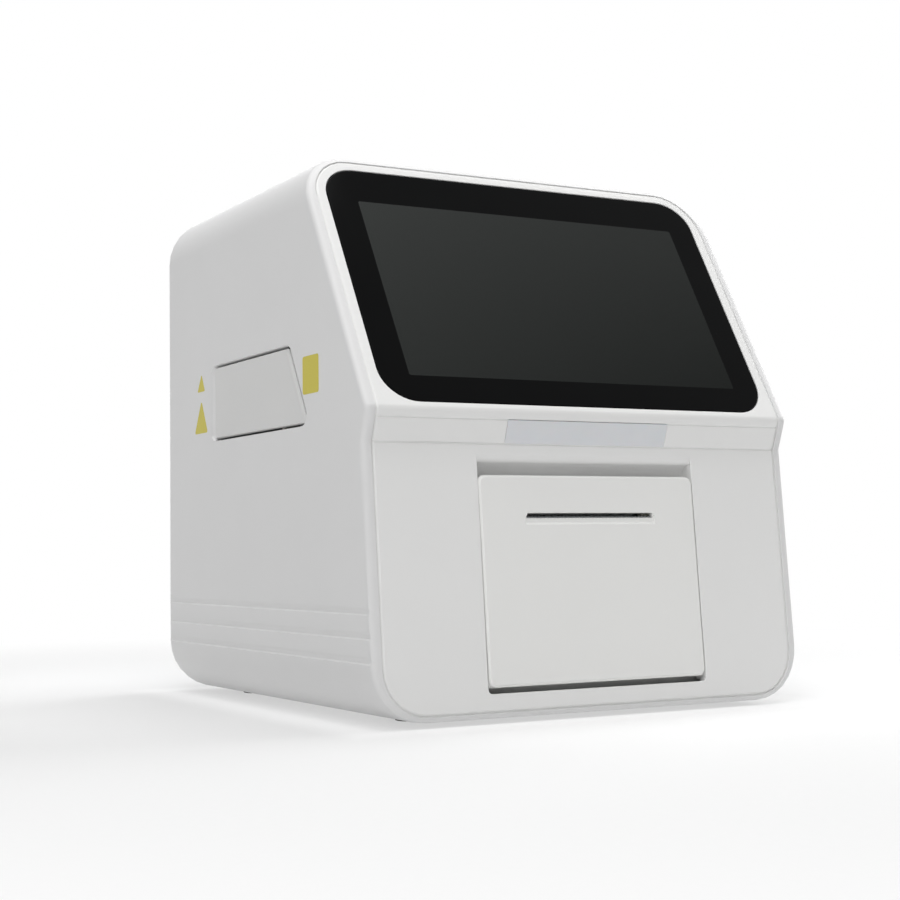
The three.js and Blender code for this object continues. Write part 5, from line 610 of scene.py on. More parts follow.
class TestReaderColours(bpy.types.PropertyGroup):
    """Colours of the mouldings and of the plain stickers."""

    shell: colour("Shell", "Colour of the outer shell", "e4e4e4")
    bezel: colour("Bezel", "Colour of the front bezel", "eeeeed")
    door: colour("Printer door", "Colour of the printer door", "f0f0ee")
    drawer: colour("Drawer front", "Colour of the cassette drawer's front", "dcdcdb")
    sticker: colour("Stickers", "Colour of the plain stickers beside the drawer", "cfc12c")


class TestReaderSizes(bpy.types.PropertyGroup):
    """Sizes of the fine pieces."""

    glass_edge: length("Glass edge", "Ground edge of the touch glass", 0.4)
    sticker_thickness: length("Sticker thickness", "How far a sticker stands out", 0.08)
    fine_gap: length("Fine gap", "Gap left round the seam's rib and the light bar", 0.04)
    contact_width: length("Contact width", "Width of a network socket's contact", 0.45)
    plating: length("Plating", "How far a metal or printed skin stands off its core", 0.05)
    facets: IntProperty(
        name="Round facets", description="Facets round the small turned pieces", default=32, min=12)


class TestReaderStudio(bpy.types.PropertyGroup):
    """Light levels, as the share of white that each source gives a surface that faces it."""

    ambient: level("Surroundings", "Light from all sides", 0.04)
    overhead: level("Overhead lamp", "Large soft lamp right above the unit", 0.63)
    right_side: level("Right lamp", "Lamp at the right, which throws the shadow", 0.55)
    front: level("Front lamp", "Soft lamp over the viewer's left shoulder", 0.44)
    left_side: level("Left lamp", "Weak lamp that fills the drawer's side", 0.02)
    left_front: level("Left front lamp", "Low lamp that picks out the edges turned to it", 0.1)
    back: level("Back lamp", "Lamp for views of the sockets and the fan", 0.22)
    bounce: level("Floor bounce", "Light that the white table sends up", 0.17, max=1.0)
    floor_light: level(
        "Floor whiteness", "Share of plain white in the floor beside the unit", 0.05, max=1.0)


# Stage

FLOOR_SIZE = 30.0
FLOOR_FIBRE_MM = 3.0
# Distances from the unit's centre between which the floor turns plain white
FLOOR_FADE = (0.32, 0.6)
# Half sizes of the unit's footprint, and painted light on the floor under it and round it, which
# lightens the unit's contact shadow where the camera sees it
FOOTPRINT = (SHELL_HIGH.x, SHELL_HIGH.y)
PAINTED_GLOW_SHARE = 0.5
PAINTED_GLOW_REACH_MM = 24.0
WHITE = (1.0, 1.0, 1.0, 1.0)
LAMP_DISTANCE = 1.9
# Each lamp's name, which is also that of its level, its direction from the unit and its width
LAMPS = (
    ("overhead", (0.0, 0.0, 1.0), 1.5),
    ("right_side", (1.0, 0.2, 0.6), 1.5),
    ("front", (-0.4, -0.5, 0.75), 1.5),
    ("left_side", (-1.0, 0.0, 0.3), 1.5),
    ("left_front", (-0.8, -0.6, 0.25), 1.5),
    ("back", (0.5, 1.0, 0.3), 1.0),
)
LAMP_AIM = (0.0, 0.0, 0.11)


def camera_matrix():
    """Where the camera stands and looks, with its small roll."""
    yaw, pitch, roll = CAMERA_YAW, CAMERA_PITCH, CAMERA_ROLL
    ahead = Vector((
        math.sin(yaw) * math.cos(pitch), math.cos(yaw) * math.cos(pitch), math.sin(pitch)))
    right = Vector((math.cos(yaw), -math.sin(yaw), 0.0))
    down = ahead.cross(right)
    rolled_right = right * math.cos(roll) + down * math.sin(roll)
    rolled_down = down * math.cos(roll) - right * math.sin(roll)
    turned = Matrix((rolled_right, -rolled_down, -ahead)).transposed().to_4x4()
    return Matrix.Translation(Vector(CAMERA_PLACE_MM) * MM) @ turned


def add_camera():
    """The camera at the photograph's place, for a square frame."""
    lens = bpy.data.cameras.new("photo_view")
    lens.lens = CAMERA_LENS_MM
    lens.sensor_width = CAMERA_SENSOR_MM
    lens.clip_start, lens.clip_end = CAMERA_CLIP
    camera = add_object("photo_view", lens)
    camera.matrix_world = camera_matrix()
    bpy.context.scene.camera = camera


def add_lamp(name, direction, width, level):
    """A soft square lamp that lights a white face turned to it to a share of white."""
    lamp = bpy.data.lights.new(name, "AREA")
    lamp.size = width
    lamp.energy = level * math.pi ** 2 * LAMP_DISTANCE ** 2
    ahead = Vector(direction).normalized()
    place = Matrix.Translation(Vector(LAMP_AIM) + ahead * LAMP_DISTANCE)
    turned = ahead.to_track_quat("Z", "Y").to_matrix().to_4x4()
    add_object(name, lamp).matrix_world = place @ turned


def seen_directly(tree):
    """1 for a ray that shows the background: from the camera, off gloss or through glass."""
    path = add_node(tree, "LightPath")
    some = add_node(tree, "Math", {
        0: path.outputs["Is Camera Ray"], 1: path.outputs["Is Glossy Ray"]}, operation="MAXIMUM")
    any_of = add_node(tree, "Math", {
        0: some.outputs[0], 1: path.outputs["Is Transmission Ray"]}, operation="MAXIMUM")
    return any_of.outputs[0]


def add_surroundings(ambient):
    """A white background, and an even light of its own level."""
    world = bpy.data.worlds.new("studio")
    world.use_nodes = True
    tree = world.node_tree
    tree.nodes.clear()
    even = add_node(tree, "Background", {"Color": WHITE, "Strength": ambient})
    white = add_node(tree, "Background", {"Color": WHITE, "Strength": 1.0})
    mixed = add_node(tree, "MixShader", {
        0: seen_directly(tree), 1: even.outputs[0], 2: white.outputs[0]})
    add_node(tree, "OutputWorld", {"Surface": mixed.outputs[0]})
    bpy.context.scene.world = world


def add_floor(whiteness, bounce):
    """A pale floor that keeps the unit's soft shadow, lights it from below, and is clear when
    looked at from under it. Painted light under and round the unit's footprint lightens the shadow
    next to it."""
    form = bmesh.new()
    bmesh.ops.create_grid(form, x_segments=1, y_segments=1, size=FLOOR_SIZE / 2)
    floor = add_object("floor", mesh_of("floor", form))
    finish, tree, place = start_material("paper_backdrop_matt")
    fibre = add_node(tree, "TexNoise", {"Vector": place, "Scale": cells(FLOOR_FIBRE_MM)})
    tone = add_node(tree, "Mix", {
        SHARE: fibre.outputs[0], FIRST: hex_to_linear("efefef"), SECOND: hex_to_linear("f1f1f1")},
        data_type="RGBA")
    paper = add_node(tree, "BsdfDiffuse", {"Color": tone.outputs[RESULT]})
    white = add_node(tree, "Emission", {"Color": WHITE, "Strength": 1.0})
    away = add_node(tree, "VectorMath", {0: place}, operation="LENGTH")
    fade = add_node(tree, "MapRange", {
        "Value": away.outputs["Value"], "From Min": FLOOR_FADE[0], "From Max": FLOOR_FADE[1],
        "To Min": whiteness, "To Max": 1.0}, interpolation_type="SMOOTHSTEP")
    split = add_node(tree, "SeparateXYZ", {"Vector": place})
    # Painted light: near the footprint the camera sees more plain white, which lightens the contact
    # shadow there
    sides = []
    for axis, half in zip("XY", FOOTPRINT):
        size = add_node(tree, "Math", {0: split.outputs[axis]}, operation="ABSOLUTE")
        sides.append(add_node(
            tree, "Math", {0: size.outputs[0], 1: half}, operation="SUBTRACT").outputs[0])
    beyond = add_node(tree, "Math", {0: sides[0], 1: sides[1]}, operation="MAXIMUM")
    painted_glow = add_node(tree, "MapRange", {
        "Value": beyond.outputs[0], "From Min": 0.0, "From Max": PAINTED_GLOW_REACH_MM * MM,
        "To Min": PAINTED_GLOW_SHARE, "To Max": 0.0}, interpolation_type="SMOOTHSTEP")
    either = add_node(tree, "Math", {
        0: fade.outputs["Result"], 1: painted_glow.outputs["Result"]}, operation="MAXIMUM")
    share = add_node(tree, "MapRange", {
        "Value": seen_directly(tree), "To Min": bounce, "To Max": either.outputs[0]})
    mixed = add_node(tree, "MixShader", {
        0: share.outputs[0], 1: paper.outputs[0], 2: white.outputs[0]})
    geometry = add_node(tree, "NewGeometry")
    clear = add_node(tree, "BsdfTransparent", {"Color": WHITE})
    one_way = add_node(tree, "MixShader", {
        0: geometry.outputs["Backfacing"], 1: mixed.outputs[0], 2: clear.outputs[0]})
    add_node(tree, "OutputMaterial", {"Surface": one_way.outputs[0]})
    floor.data.materials.append(finish)


# Fine pieces

SCREEN = plane_matrix(SCREEN_ORIGIN_MM, SCREEN_LEAN)
LOWER = plane_matrix(LOWER_ORIGIN_MM, LOWER_LEAN)
BAND = plane_matrix(BAND_ORIGIN_MM, BAND_LEAN)
# Outlines on the screen's plane, as left, right, low and high: the glass and the display's window
GLASS_MM = (-90.1, 90.1, 3.3, 117.515)
GLASS_RADIUS_MM = 14.5
GLASS_THICKNESS_MM = 1.8
GLASS_EDGE_STEPS = 4
VIEW_MM = (-77.1, 77.1, 15.1, 101.015)
VIEW_RADIUS_MM = 0.8
ARC_STEPS = 10
# How far a piece reaches into the board or wall that carries it
SINK_MM = 0.1


def shrunk(sides, amount):
    """Left, right, low and high sides moved inward."""
    left, right, low, high = sides
    return left + amount, right - amount, low + amount, high - amount


def touch_glass(edge):
    """The touch glass: a ground round edge, a black border and the display's window."""
    form = bmesh.new()
    edge_mm = edge / MM
    levels = [(0.0, GLASS_THICKNESS_MM)]
    for i in range(GLASS_EDGE_STEPS + 1):
        angle = math.pi / 2 * i / GLASS_EDGE_STEPS
        levels.append((edge_mm * (1 - math.cos(angle)), edge_mm * (1 - math.sin(angle))))
    rings = []
    for amount, depth in levels:
        outline = rounded_outline(
            *shrunk(GLASS_MM, amount), GLASS_RADIUS_MM - amount, ARC_STEPS)
        rings.append([SCREEN @ (Vector((x, depth, z)) * MM) for x, z in outline])
    window = rounded_outline(*VIEW_MM, VIEW_RADIUS_MM, ARC_STEPS)
    rings.append([SCREEN @ (Vector((x, 0.0, z)) * MM) for x, z in window])
    skin_rings(form, rings)
    form.faces.ensure_lookup_table()
    form.faces[-1].material_index = 1
    piece = new_piece(
        "touch_glass_printed", form, ("screen_glass", "display"), "housing")
    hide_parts("touch_glass")


# The bezel's outline in the seam, and the heights at which the front folds
SEAM_MM = (-94.8, 94.8, 4.5, 224.0)
SEAM_RADIUS_MM = 17.6
FOLDS_MM = (106.1, 118.6)
SEAM_GAP_MM = 0.3
# The lip's outer and inner depth behind the front, and how far it reaches into the bezel
LIP_DEPTH_MM = (0.65, 1.6)
LIP_SINK_MM = 0.1


def front_y(z):
    """Depth of the housing's front at a height, in millimetres."""
    if z < FOLDS_MM[0]:
        return LOWER_ORIGIN_MM[1] - math.tan(LOWER_LEAN) * (z - LOWER_ORIGIN_MM[2])
    band = BAND_ORIGIN_MM[1] - math.tan(BAND_LEAN) * (z - BAND_ORIGIN_MM[2])
    screen = SCREEN_ORIGIN_MM[1] - math.tan(SCREEN_LEAN) * (z - SCREEN_ORIGIN_MM[2])
    return max(band, screen)


def seam_outline(amount):
    """The bezel's outline, shrunk by an amount, with a point at each fold on both sides."""
    left, right, low, high = shrunk(SEAM_MM, amount)
    arcs = rounded_outline(left, right, low, high, SEAM_RADIUS_MM - amount, ARC_STEPS)
    corner = ARC_STEPS + 1
    return (arcs[:corner] + [(right, z) for z in FOLDS_MM] + arcs[corner:3 * corner]
            + [(left, z) for z in reversed(FOLDS_MM)] + arcs[3 * corner:])


def seam_lip(gap):
    """A rib round the bezel that closes the seam behind its edge, so that it shows grey."""
    shallow, deep = LIP_DEPTH_MM
    reach = gap / MM - SEAM_GAP_MM
    section = [(LIP_SINK_MM, shallow), (reach, shallow), (reach, deep), (LIP_SINK_MM, deep)]
    form = bmesh.new()
    skin_rings(form, [
        [Vector((x, front_y(z) + depth, z)) * MM for x, z in seam_outline(amount)]
        for amount, depth in section], is_loop=True)
    new_piece("seam_lip", form, ("bezel",), "housing")


# The light bar in its slot on the band, the flange behind the wall, and how far the two overlap
BAR_HALF_MM = 37.5
BAR_LEVELS_MM = (0.45, 9.31)
BAR_DEPTH_MM = 4.07
BAR_FLANGE_MM = (39.5, 1.5)
BAR_OVERLAP_MM = 0.05


def bar_lens(gap):
    """The light bar, fitted closely into its slot, with its flange behind the bezel's wall."""
    form = bmesh.new()
    grow = SEAM_GAP_MM - gap / MM
    half = BAR_HALF_MM + grow
    low, high = BAR_LEVELS_MM
    add_block(form, (-half, 0.0, low - grow), (half, BAR_DEPTH_MM, high + grow), BAND)
    wide, thick = BAR_FLANGE_MM
    add_block(form, (-wide, BAR_DEPTH_MM - BAR_OVERLAP_MM, low),
              (wide, BAR_DEPTH_MM + thick, high), BAND)
    piece = new_piece(
        "light_bar_lens", form, ("diffuser",), "housing", radius_mm=0.12)
    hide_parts("light_bar")


SIDE_X_MM = SHELL_LOW.x / MM
STICKER_SINK_MM = 0.2
# Outlines of the plain stickers, as (y, z) in millimetres, and the radius of their corners
STICKERS = {
    "sticker_rectangle": (((-50.9, 127.6), (-50.9, 142.7), (-66.1, 142.7), (-66.1, 127.6)), 1.2),
    "sticker_small": (((67.6, 138.9), (62.5, 146.8), (58.4, 138.9)), 0.5),
    "sticker_large": (((71.3, 119.9), (62.7, 134.8), (55.0, 119.9)), 0.8),
}


def stickers(thickness):
    """Plain stickers beside the drawer, with round corners and nothing on them."""
    for name, (corners, radius) in STICKERS.items():
        form = bmesh.new()
        outline = rounded_corners(corners, radius, ARC_STEPS // 2)
        rings = [[Vector((x, y, z)) * MM for y, z in outline]
                 for x in (SIDE_X_MM + STICKER_SINK_MM, SIDE_X_MM - thickness / MM)]
        skin_rings(form, rings)
        new_piece(name, form, ("sticker",), "housing", radius_mm=thickness / MM / 3)


def assemble(name, blocks, radius_mm, place=Matrix.Identity(4), cans=(), facets=0):
    """One piece from blocks (finish, low, high) and cans (finish, x, y, low, high, radius)."""
    form = bmesh.new()
    finishes = list(dict.fromkeys(part[0] for part in (*blocks, *cans)))
    for finish, low, high in blocks:
        add_block(form, low, high, place, finishes.index(finish))
    for finish, x, y, low, high, radius in cans:
        at = place @ Matrix.Translation(Vector((x, y, 0.0)) * MM)
        before = set(form.faces)
        skin_rings(form, [turned_ring(at, radius, level, facets) for level in (low, high)])
        for face in set(form.faces) - before:
            face.material_index = finishes.index(finish)
    new_piece(name, form, finishes, "housing", radius_mm)


# What stands on the main board: its top is at this height
BOARD_TOP_MM = 17.6
MAIN_BLOCKS_MM = (
    # Chips: finish, middle and half size in the plane, height over the board
    ("chip", (-31.0, 0.0), (8.8, 8.8), 2.1),
    ("chip", (-58.0, 6.0), (5.0, 7.0), 1.2),
    ("chip", (-58.0, 24.0), (5.0, 7.0), 1.2),
    ("chip", (-4.0, -6.0), (3.0, 4.5), 1.5),
    ("chip", (-60.0, 66.0), (6.0, 6.0), 1.4),
    # Coils, a crystal, and the headers of the plugs
    ("chip", (3.0, 26.0), (4.0, 4.0), 4.5),
    ("chip", (3.0, 38.0), (4.0, 4.0), 4.5),
    ("tinplate", (-14.0, 14.0), (5.5, 2.2), 3.4),
    ("nylon", (-2.0, -22.0), (10.0, 2.8), 6.5),
    ("nylon", (-34.0, -22.0), (14.0, 2.8), 6.5),
    ("nylon", (-66.0, -20.0), (6.0, 2.8), 6.5),
    ("nylon", (8.0, 60.0), (2.8, 9.0), 6.5),
)
# Capacitors: middle, height over the board and radius, and the bare lid that each shows on top
MAIN_CANS_MM = (
    (-8.0, 74.0, 9.0, 4.0), (-18.0, 74.0, 9.0, 4.0), (-70.0, 40.0, 7.0, 3.1),
    (-70.0, 48.0, 7.0, 3.1),
)
LID_DEPTH_MM = 0.5
LID_RISE_MM = 0.1
LID_RIM_MM = 0.6
# Small ceramic capacitors and resistors: start, step and count of each row
CERAMIC_ROWS_MM = (
    ((-44.0, -7.0), (0.0, 3.4), 5), ((-18.0, -7.0), (0.0, 3.4), 5),
    ((-40.0, 14.0), (3.4, 0.0), 6), ((-52.0, 36.0), (0.0, 3.6), 6),
    ((-62.0, 54.0), (3.6, 0.0), 5), ((-24.0, 60.0), (3.8, 0.0), 4),
)
CERAMIC_HALF_MM = (1.0, 0.6)
CERAMIC_HEIGHT_MM = 0.8


def main_board_parts(facets):
    """Chips, coils, headers, capacitors and rows of ceramic parts on the main board."""
    standing = list(MAIN_BLOCKS_MM)
    for (x, y), (step_x, step_y), count in CERAMIC_ROWS_MM:
        for i in range(count):
            at = (x + step_x * i, y + step_y * i)
            standing.append(("ceramic", at, CERAMIC_HALF_MM, CERAMIC_HEIGHT_MM))
    low = BOARD_TOP_MM - SINK_MM
    blocks = [(finish, (x - a, y - b, low), (x + a, y + b, BOARD_TOP_MM + height))
              for finish, (x, y), (a, b), height in standing]
    cans = []
    for x, y, height, radius in MAIN_CANS_MM:
        top = BOARD_TOP_MM + height
        cans.append(("sleeve", x, y, low, top, radius))
        cans.append(
            ("aluminium", x, y, top - LID_DEPTH_MM, top + LID_RISE_MM, radius - LID_RIM_MM))
    assemble("main_board_parts", blocks, 0.1, cans=cans, facets=facets)


# Skins over the power supply's large parts, which are one solid with its board
CORE_MM = ((46.0, 13.0), (70.0, 39.0), 41.6)
COIL_MM = (19.0, 33.0)
COIL_LIFT_MM = 3.0
SUPPLY_CAN_MM = (58.0, 60.0, 43.6, 8.0)
SUPPLY_LID_RIM_MM = 1.0
FIN_MM = ((74.0, -14.0), (76.5, 66.0), 45.6)
# The plug's header and a resistor in a ceramic case: finish, corners, height over the board
SUPPLY_BLOCKS_MM = (
    ("nylon", (36.0, -20.0), (52.0, -14.0), 7.0),
    ("ceramic", (36.0, 56.0), (39.0, 68.0), 9.0),
)
# Power chips on the heat sink: where they are, how far each stands off, half its width, and its
# heights over the board
POWER_CHIPS_MM = (0.0, 20.0, 48.0)
POWER_CHIP_MM = (4.4, 5.0, 4.0, 19.0)
# Legs of a power chip: their steps, how far they stand off, half their width, and their top
LEG_STEPS_MM = (-2.54, 0.0, 2.54)
LEG_MM = (2.8, 2.3, 0.4, 4.5)


def power_supply_parts(skin, facets):
    """Ferrite and its taped coil, the sleeved capacitor, the heat sink and its power chips."""
    off = skin / MM
    low = BOARD_TOP_MM - SINK_MM
    (x0, y0), (x1, y1), top = CORE_MM
    (fx0, fy0), (fx1, fy1), fin_top = FIN_MM
    blocks = [
        ("chip", (x0 - off, y0 - off, low), (x1 + off, y1 + off, top + off)),
        ("tape", (x0 - 3 * off, COIL_MM[0], BOARD_TOP_MM + COIL_LIFT_MM),
         (x1 + 3 * off, COIL_MM[1], top + 3 * off)),
        ("aluminium", (fx0 - off, fy0 - off, low), (fx1 + off, fy1 + off, fin_top + off)),
    ]
    for finish, first, last, height in SUPPLY_BLOCKS_MM:
        blocks.append((finish, (*first, low), (*last, BOARD_TOP_MM + height)))
    deep, wide, foot, head = POWER_CHIP_MM
    outer, inner, thin, leg_top = LEG_MM
    for y in POWER_CHIPS_MM:
        blocks.append(("chip", (fx0 - deep, y - wide, BOARD_TOP_MM + foot),
                       (fx0 - off, y + wide, BOARD_TOP_MM + head)))
        for leg in LEG_STEPS_MM:
            blocks.append(("tinplate", (fx0 - outer, y + leg - thin, low),
                           (fx0 - inner, y + leg + thin, BOARD_TOP_MM + leg_top)))
    x, y, can_top, radius = SUPPLY_CAN_MM
    cans = [("sleeve", x, y, low, can_top + off, radius + off),
            ("aluminium", x, y, can_top, can_top + 2 * off, radius - SUPPLY_LID_RIM_MM)]
    assemble("power_supply_parts", blocks, 0.1, cans=cans, facets=facets)


# Sockets, from behind: depths are measured inward from their outer faces
SOCKET_FACE_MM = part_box("lan_port")[1].y / MM
PANEL_FACE_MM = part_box("rear_panel")[1].y / MM
LAN_X_MM = -60.0
# Half width, lowest and highest point and depth of the network socket's mouth
LAN_MOUTH_MM = (5.9, 22.3, 30.3, 12.0)
LAN_WALL_MM = 0.25
LAN_LATCH_HALF_MM = 2.5
LAN_CONTACTS = 8
LAN_PITCH_MM = 1.02
# How far below the liner's top the contacts start, how they lean, their length and thickness
LAN_CONTACT_DROP_MM = 2.4
LAN_CONTACT_LEAN = math.radians(13.0)
LAN_CONTACT_MM = (8.6, 0.2)


def network_socket(contact):
    """Dark liner of the network socket and its eight sprung gold contacts."""
    half, low, high, depth = LAN_MOUTH_MM
    wall = LAN_WALL_MM
    back, face = SOCKET_FACE_MM - depth, SOCKET_FACE_MM - wall
    walls = [((-half, half), high - wall, high, face), ((-half, half), low, high, back + wall)]
    for side in (-1, 1):
        walls.append((sorted((side * half, side * (half - wall))), low, high, face))
        walls.append((sorted((side * half, side * LAN_LATCH_HALF_MM)), low, low + wall, face))
    blocks = [("dark_plastic", (LAN_X_MM + left, back, under), (LAN_X_MM + right, front, over))
              for (left, right), under, over, front in walls]
    assemble("network_socket_liner", blocks, 0.04)
    width = contact / MM / 2
    long, thick = LAN_CONTACT_MM
    slope = plane_matrix(
        (LAN_X_MM, back + wall, high - LAN_CONTACT_DROP_MM), LAN_CONTACT_LEAN)
    middles = [(i - (LAN_CONTACTS - 1) / 2) * LAN_PITCH_MM for i in range(LAN_CONTACTS)]
    blocks = [("gold", (x - width, 0.0, 0.0), (x + width, long, thick)) for x in middles]
    assemble("network_socket_contacts", blocks, 0.05, slope)


# Tongues of the data ports: middles, half width and levels, and their inner and outer depth
USB_X_MM = (-36.0, -16.0)
USB_TONGUE_MM = (5.6, 21.4, 23.3)
USB_DEPTHS_MM = (11.0, 1.0)
# Contacts under a tongue: places across, half width, and inner and outer depth
USB_CONTACTS_MM = (-3.5, -1.0, 1.0, 3.5)
USB_CONTACT_HALF_MM = 0.5
USB_CONTACT_DEPTHS_MM = (10.0, 1.6)


def usb_tongues(skin):
    """Plastic tongues of the two data ports, each with four gold contacts under it."""
    off = skin / MM
    half, low, high = USB_TONGUE_MM
    back, front = [SOCKET_FACE_MM - depth for depth in USB_DEPTHS_MM]
    inner, outer = [SOCKET_FACE_MM - depth for depth in USB_CONTACT_DEPTHS_MM]
    for number, x in enumerate(USB_X_MM, 1):
        blocks = [("nylon", (x - half - off, back, low - off),
                   (x + half + off, front + off, high + off))]
        for at in USB_CONTACTS_MM:
            blocks.append(("gold", (x + at - USB_CONTACT_HALF_MM, inner, low - 4 * off),
                           (x + at + USB_CONTACT_HALF_MM, outer, low - off / 2)))
        assemble(f"usb_tongue_{number}", blocks, 0.05)


# Blades of the power inlet: middles, half width and height, and inner and outer depth
INLET_BLADES_MM = ((46.0, 34.0), (60.0, 34.0), (53.0, 38.0))
BLADE_HALF_MM = (1.0, 2.0)
BLADE_DEPTHS_MM = (15.4, 1.5)


def inlet_blades(skin):
    """Plated blades of the power inlet, over their cores."""
    off = skin / MM
    wide, high = BLADE_HALF_MM
    inner, outer = [SOCKET_FACE_MM - depth for depth in BLADE_DEPTHS_MM]
    blocks = [("tinplate", (x - wide - off, inner, z - high - off),
               (x + wide + off, outer + off, z + high + off)) for x, z in INLET_BLADES_MM]
    assemble("power_inlet_blades", blocks, 0.3)


# The switch at rest, the place of its marks on the two halves, and their sizes
ROCKER_AXIS_MM = (27.0, 105.2, 36.0)
ROCKER_REST = math.radians(8.0)
MARK_AT_MM = (3.87, 4.2)
MARK_TILT = math.radians(17.9)
LINE_HALF_MM = (0.35, 1.5)
RING_RADII_MM = (1.0, 1.5)


def rocker_marks(skin, facets):
    """The printed on and off marks: a line below and a ring above."""
    thick = skin / MM
    form = bmesh.new()
    rest = plane_matrix(ROCKER_AXIS_MM, ROCKER_REST)
    depth, height = MARK_AT_MM
    line = rest @ plane_matrix((0.0, depth, -height), MARK_TILT)
    wide, high = LINE_HALF_MM
    add_block(form, (-wide, -thick, -high), (wide, thick, high), line)
    ring = rest @ plane_matrix((0.0, depth, height), math.radians(90.0) - MARK_TILT)
    small, large = RING_RADII_MM
    section = ((small, thick), (large, thick), (large, -thick), (small, -thick))
    rings = [turned_ring(ring, radius, out, facets) for radius, out in section]
    skin_rings(form, rings, is_loop=True)
    new_piece("rocker_marks", form, ("white_ink",), "rocker")


FAN_CENTRE_MM = (40.0, 152.0)
FAN_HOLE_MM = 25.0
# A fan screw's head and its hexagon socket, as radius and height or depth
SCREW_HEAD_MM = (2.9, 1.4)
SCREW_SOCKET_MM = (1.15, 0.9)
# The dome of the head, in shares of its radius and its height
SCREW_DOME_SHARES = ((1.0, 0.35), (0.93, 0.62), (0.78, 0.85), (0.6, 1.0))


def fan_screws(facets):
    """Four button-head screws with hexagon sockets, which hold the fan to the panel."""
    head, height = SCREW_HEAD_MM
    socket, sunk = SCREW_SOCKET_MM
    dome = [(head, -SINK_MM)]
    dome += [(wide * head, high * height) for wide, high in SCREW_DOME_SHARES]
    form = bmesh.new()
    for side in (-1, 1):
        for level in (-1, 1):
            at = Vector((FAN_CENTRE_MM[0] + side * FAN_HOLE_MM, PANEL_FACE_MM,
                         FAN_CENTRE_MM[1] + level * FAN_HOLE_MM)) * MM
            place = Matrix.Translation(at) @ Matrix.Rotation(math.radians(-90.0), 4, "X")
            rings = [turned_ring(place, radius, out, facets) for radius, out in dome]
            rings += [turned_ring(place, socket, out, facets, is_hexagon=True)
                      for out in (height, height - sunk)]
            skin_rings(form, rings)
    new_piece("fan_screws", form, ("steel",), "housing", radius_mm=0.06)


# The print head's place on the lower front's plane, its turn, and the level of its face
HEAD_MM = (12.0, 71.481)
HEAD_TURN = math.radians(40.0)
HEAD_FACE_MM = 4.9
# Its ceramic strip and the row of dots: finish, half sizes, and outer and inner level
HEAD_SKINS_MM = (
    ("ceramic", 28.6, 5.0, -0.1, 0.05),
    ("chip", 27.6, 0.25, -0.14, -0.05),
)


def head_line():
    """The print head's ceramic face with its dark row of heating dots."""
    at = LOWER @ plane_matrix((0.0, *HEAD_MM), HEAD_TURN)
    blocks = [(finish, (-wide, HEAD_FACE_MM + outer, -high), (wide, HEAD_FACE_MM + inner, high))
              for finish, wide, high, outer, inner in HEAD_SKINS_MM]
    assemble("print_head_line", blocks, 0.03, at)


# Operators: one for the stage, one for the finishes and one for each group of pieces


class TESTREADER_OT_stage(bpy.types.Operator):
    """Add the camera, the lamps, the floor and the white surroundings"""

    bl_idname = "testreader.stage"
    bl_label = "Stage"

    def execute(self, context):
        studio = context.scene.test_reader_studio
        context.scene.view_settings.view_transform = "Standard"
        add_camera()
        add_surroundings(studio.ambient)
        add_floor(studio.floor_light, studio.bounce)
        for name, direction, width in LAMPS:
            add_lamp(name, direction, width, getattr(studio, name))
        return {"FINISHED"}


class TESTREADER_OT_finishes(bpy.types.Operator):
    """Make the finishes of all pieces"""

    bl_idname = "testreader.finishes"
    bl_label = "Finishes"

    def execute(self, context):
        make_finishes(context.scene.test_reader_colours)
        return {"FINISHED"}


class TESTREADER_OT_housing(bpy.types.Operator):
    """Dress the shell, the bezel, the rear panel and the feet"""

    bl_idname = "testreader.housing"
    bl_label = "Housing"

    def execute(self, context):
        dress(HOUSING_NODES)
        seam_lip(context.scene.test_reader_sizes.fine_gap)
        return {"FINISHED"}


class TESTREADER_OT_screen(bpy.types.Operator):
    """Dress the display and the light bar, and add the printed touch glass"""

    bl_idname = "testreader.screen"
    bl_label = "Screen and light bar"

    def execute(self, context):
        sizes = context.scene.test_reader_sizes
        dress(SCREEN_NODES)
        touch_glass(sizes.glass_edge)
        bar_lens(sizes.fine_gap)
        return {"FINISHED"}


class TESTREADER_OT_printer(bpy.types.Operator):
    """Dress the printer and its door, and add the print head's face"""

    bl_idname = "testreader.printer"
    bl_label = "Printer"

    def execute(self, context):
        dress(PRINTER_NODES)
        head_line()
        return {"FINISHED"}


class TESTREADER_OT_drawer(bpy.types.Operator):
    """Dress the cassette drawer, its drive and the read head"""

    bl_idname = "testreader.drawer"
    bl_label = "Cassette drawer"

    def execute(self, context):
        dress(DRAWER_NODES)
        return {"FINISHED"}


class TESTREADER_OT_boards(bpy.types.Operator):
    """Dress the boards and add the parts on them"""

    bl_idname = "testreader.boards"
    bl_label = "Boards"

    def execute(self, context):
        sizes = context.scene.test_reader_sizes
        dress(BOARD_NODES)
        main_board_parts(sizes.facets)
        power_supply_parts(sizes.plating, sizes.facets)
        return {"FINISHED"}


class TESTREADER_OT_sockets(bpy.types.Operator):
    """Dress the rear sockets and the switch, and add their contacts and marks"""

    bl_idname = "testreader.sockets"
    bl_label = "Sockets and switch"

    def execute(self, context):
        sizes = context.scene.test_reader_sizes
        dress(SOCKET_NODES)
        network_socket(sizes.contact_width)
        usb_tongues(sizes.plating)
        inlet_blades(sizes.plating)
        rocker_marks(sizes.plating, sizes.facets)
        return {"FINISHED"}


class TESTREADER_OT_fan(bpy.types.Operator):
    """Dress the fan and add its screws"""

    bl_idname = "testreader.fan"
    bl_label = "Fan"

    def execute(self, context):
        dress(FAN_NODES)
        fan_screws(context.scene.test_reader_sizes.facets)
        return {"FINISHED"}


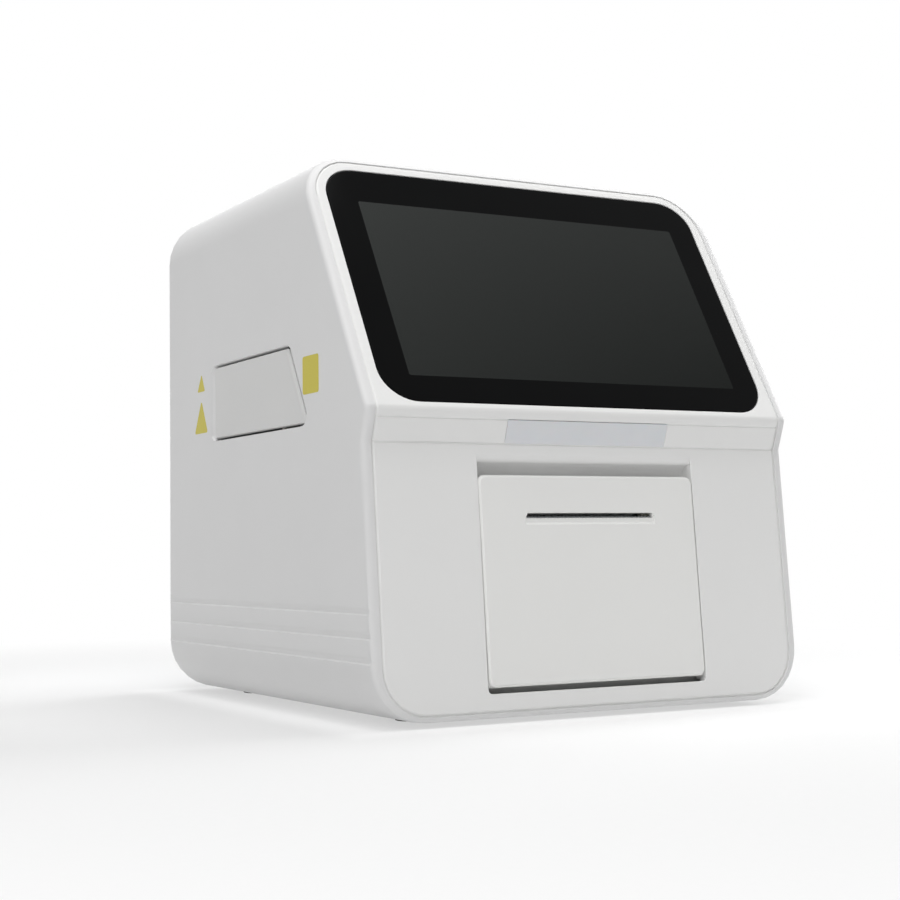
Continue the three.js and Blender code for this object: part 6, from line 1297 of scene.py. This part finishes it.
class TESTREADER_OT_stickers(bpy.types.Operator):
    """Add the plain stickers beside the drawer"""

    bl_idname = "testreader.stickers"
    bl_label = "Plain stickers"

    def execute(self, context):
        stickers(context.scene.test_reader_sizes.sticker_thickness)
        return {"FINISHED"}


OPERATORS = (
    TESTREADER_OT_stage,
    TESTREADER_OT_finishes,
    TESTREADER_OT_housing,
    TESTREADER_OT_screen,
    TESTREADER_OT_printer,
    TESTREADER_OT_drawer,
    TESTREADER_OT_boards,
    TESTREADER_OT_sockets,
    TESTREADER_OT_fan,
    TESTREADER_OT_stickers,
)


class TESTREADER_PT_sidebar(bpy.types.Panel):
    """Lists the reader's values and its operators"""

    bl_idname = "TESTREADER_PT_sidebar"
    bl_label = "Rapid test reader"
    bl_space_type = "VIEW_3D"
    bl_region_type = "UI"
    bl_category = "Test reader"

    def draw(self, context):
        for group in PROPERTY_GROUPS:
            values = getattr(context.scene, group)
            for key in values.bl_rna.properties.keys():
                if key not in ("rna_type", "name"):
                    self.layout.prop(values, key)
        for operator in OPERATORS:
            self.layout.operator(operator.bl_idname)


# Scene property that holds each group of values
PROPERTY_GROUPS = {
    "test_reader_colours": TestReaderColours,
    "test_reader_sizes": TestReaderSizes,
    "test_reader_studio": TestReaderStudio,
}


def register():
    """Adds the classes to Blender, and the groups of values to its scenes."""
    for kind in (*PROPERTY_GROUPS.values(), *OPERATORS, TESTREADER_PT_sidebar):
        bpy.utils.register_class(kind)
    for name, kind in PROPERTY_GROUPS.items():
        setattr(bpy.types.Scene, name, PointerProperty(type=kind))


def unregister():
    """Takes off what register adds."""
    for name in PROPERTY_GROUPS:
        delattr(bpy.types.Scene, name)
    for kind in (TESTREADER_PT_sidebar, *reversed(OPERATORS), *PROPERTY_GROUPS.values()):
        bpy.utils.unregister_class(kind)


def main():
    """Builds the scene."""
    register()
    for operator in OPERATORS:
        section, name = operator.bl_idname.split(".")
        result = getattr(getattr(bpy.ops, section), name)()
        if result != {"FINISHED"}:
            raise RuntimeError(f"{operator.bl_label} did not finish")


if __name__ == "__main__":
    main()
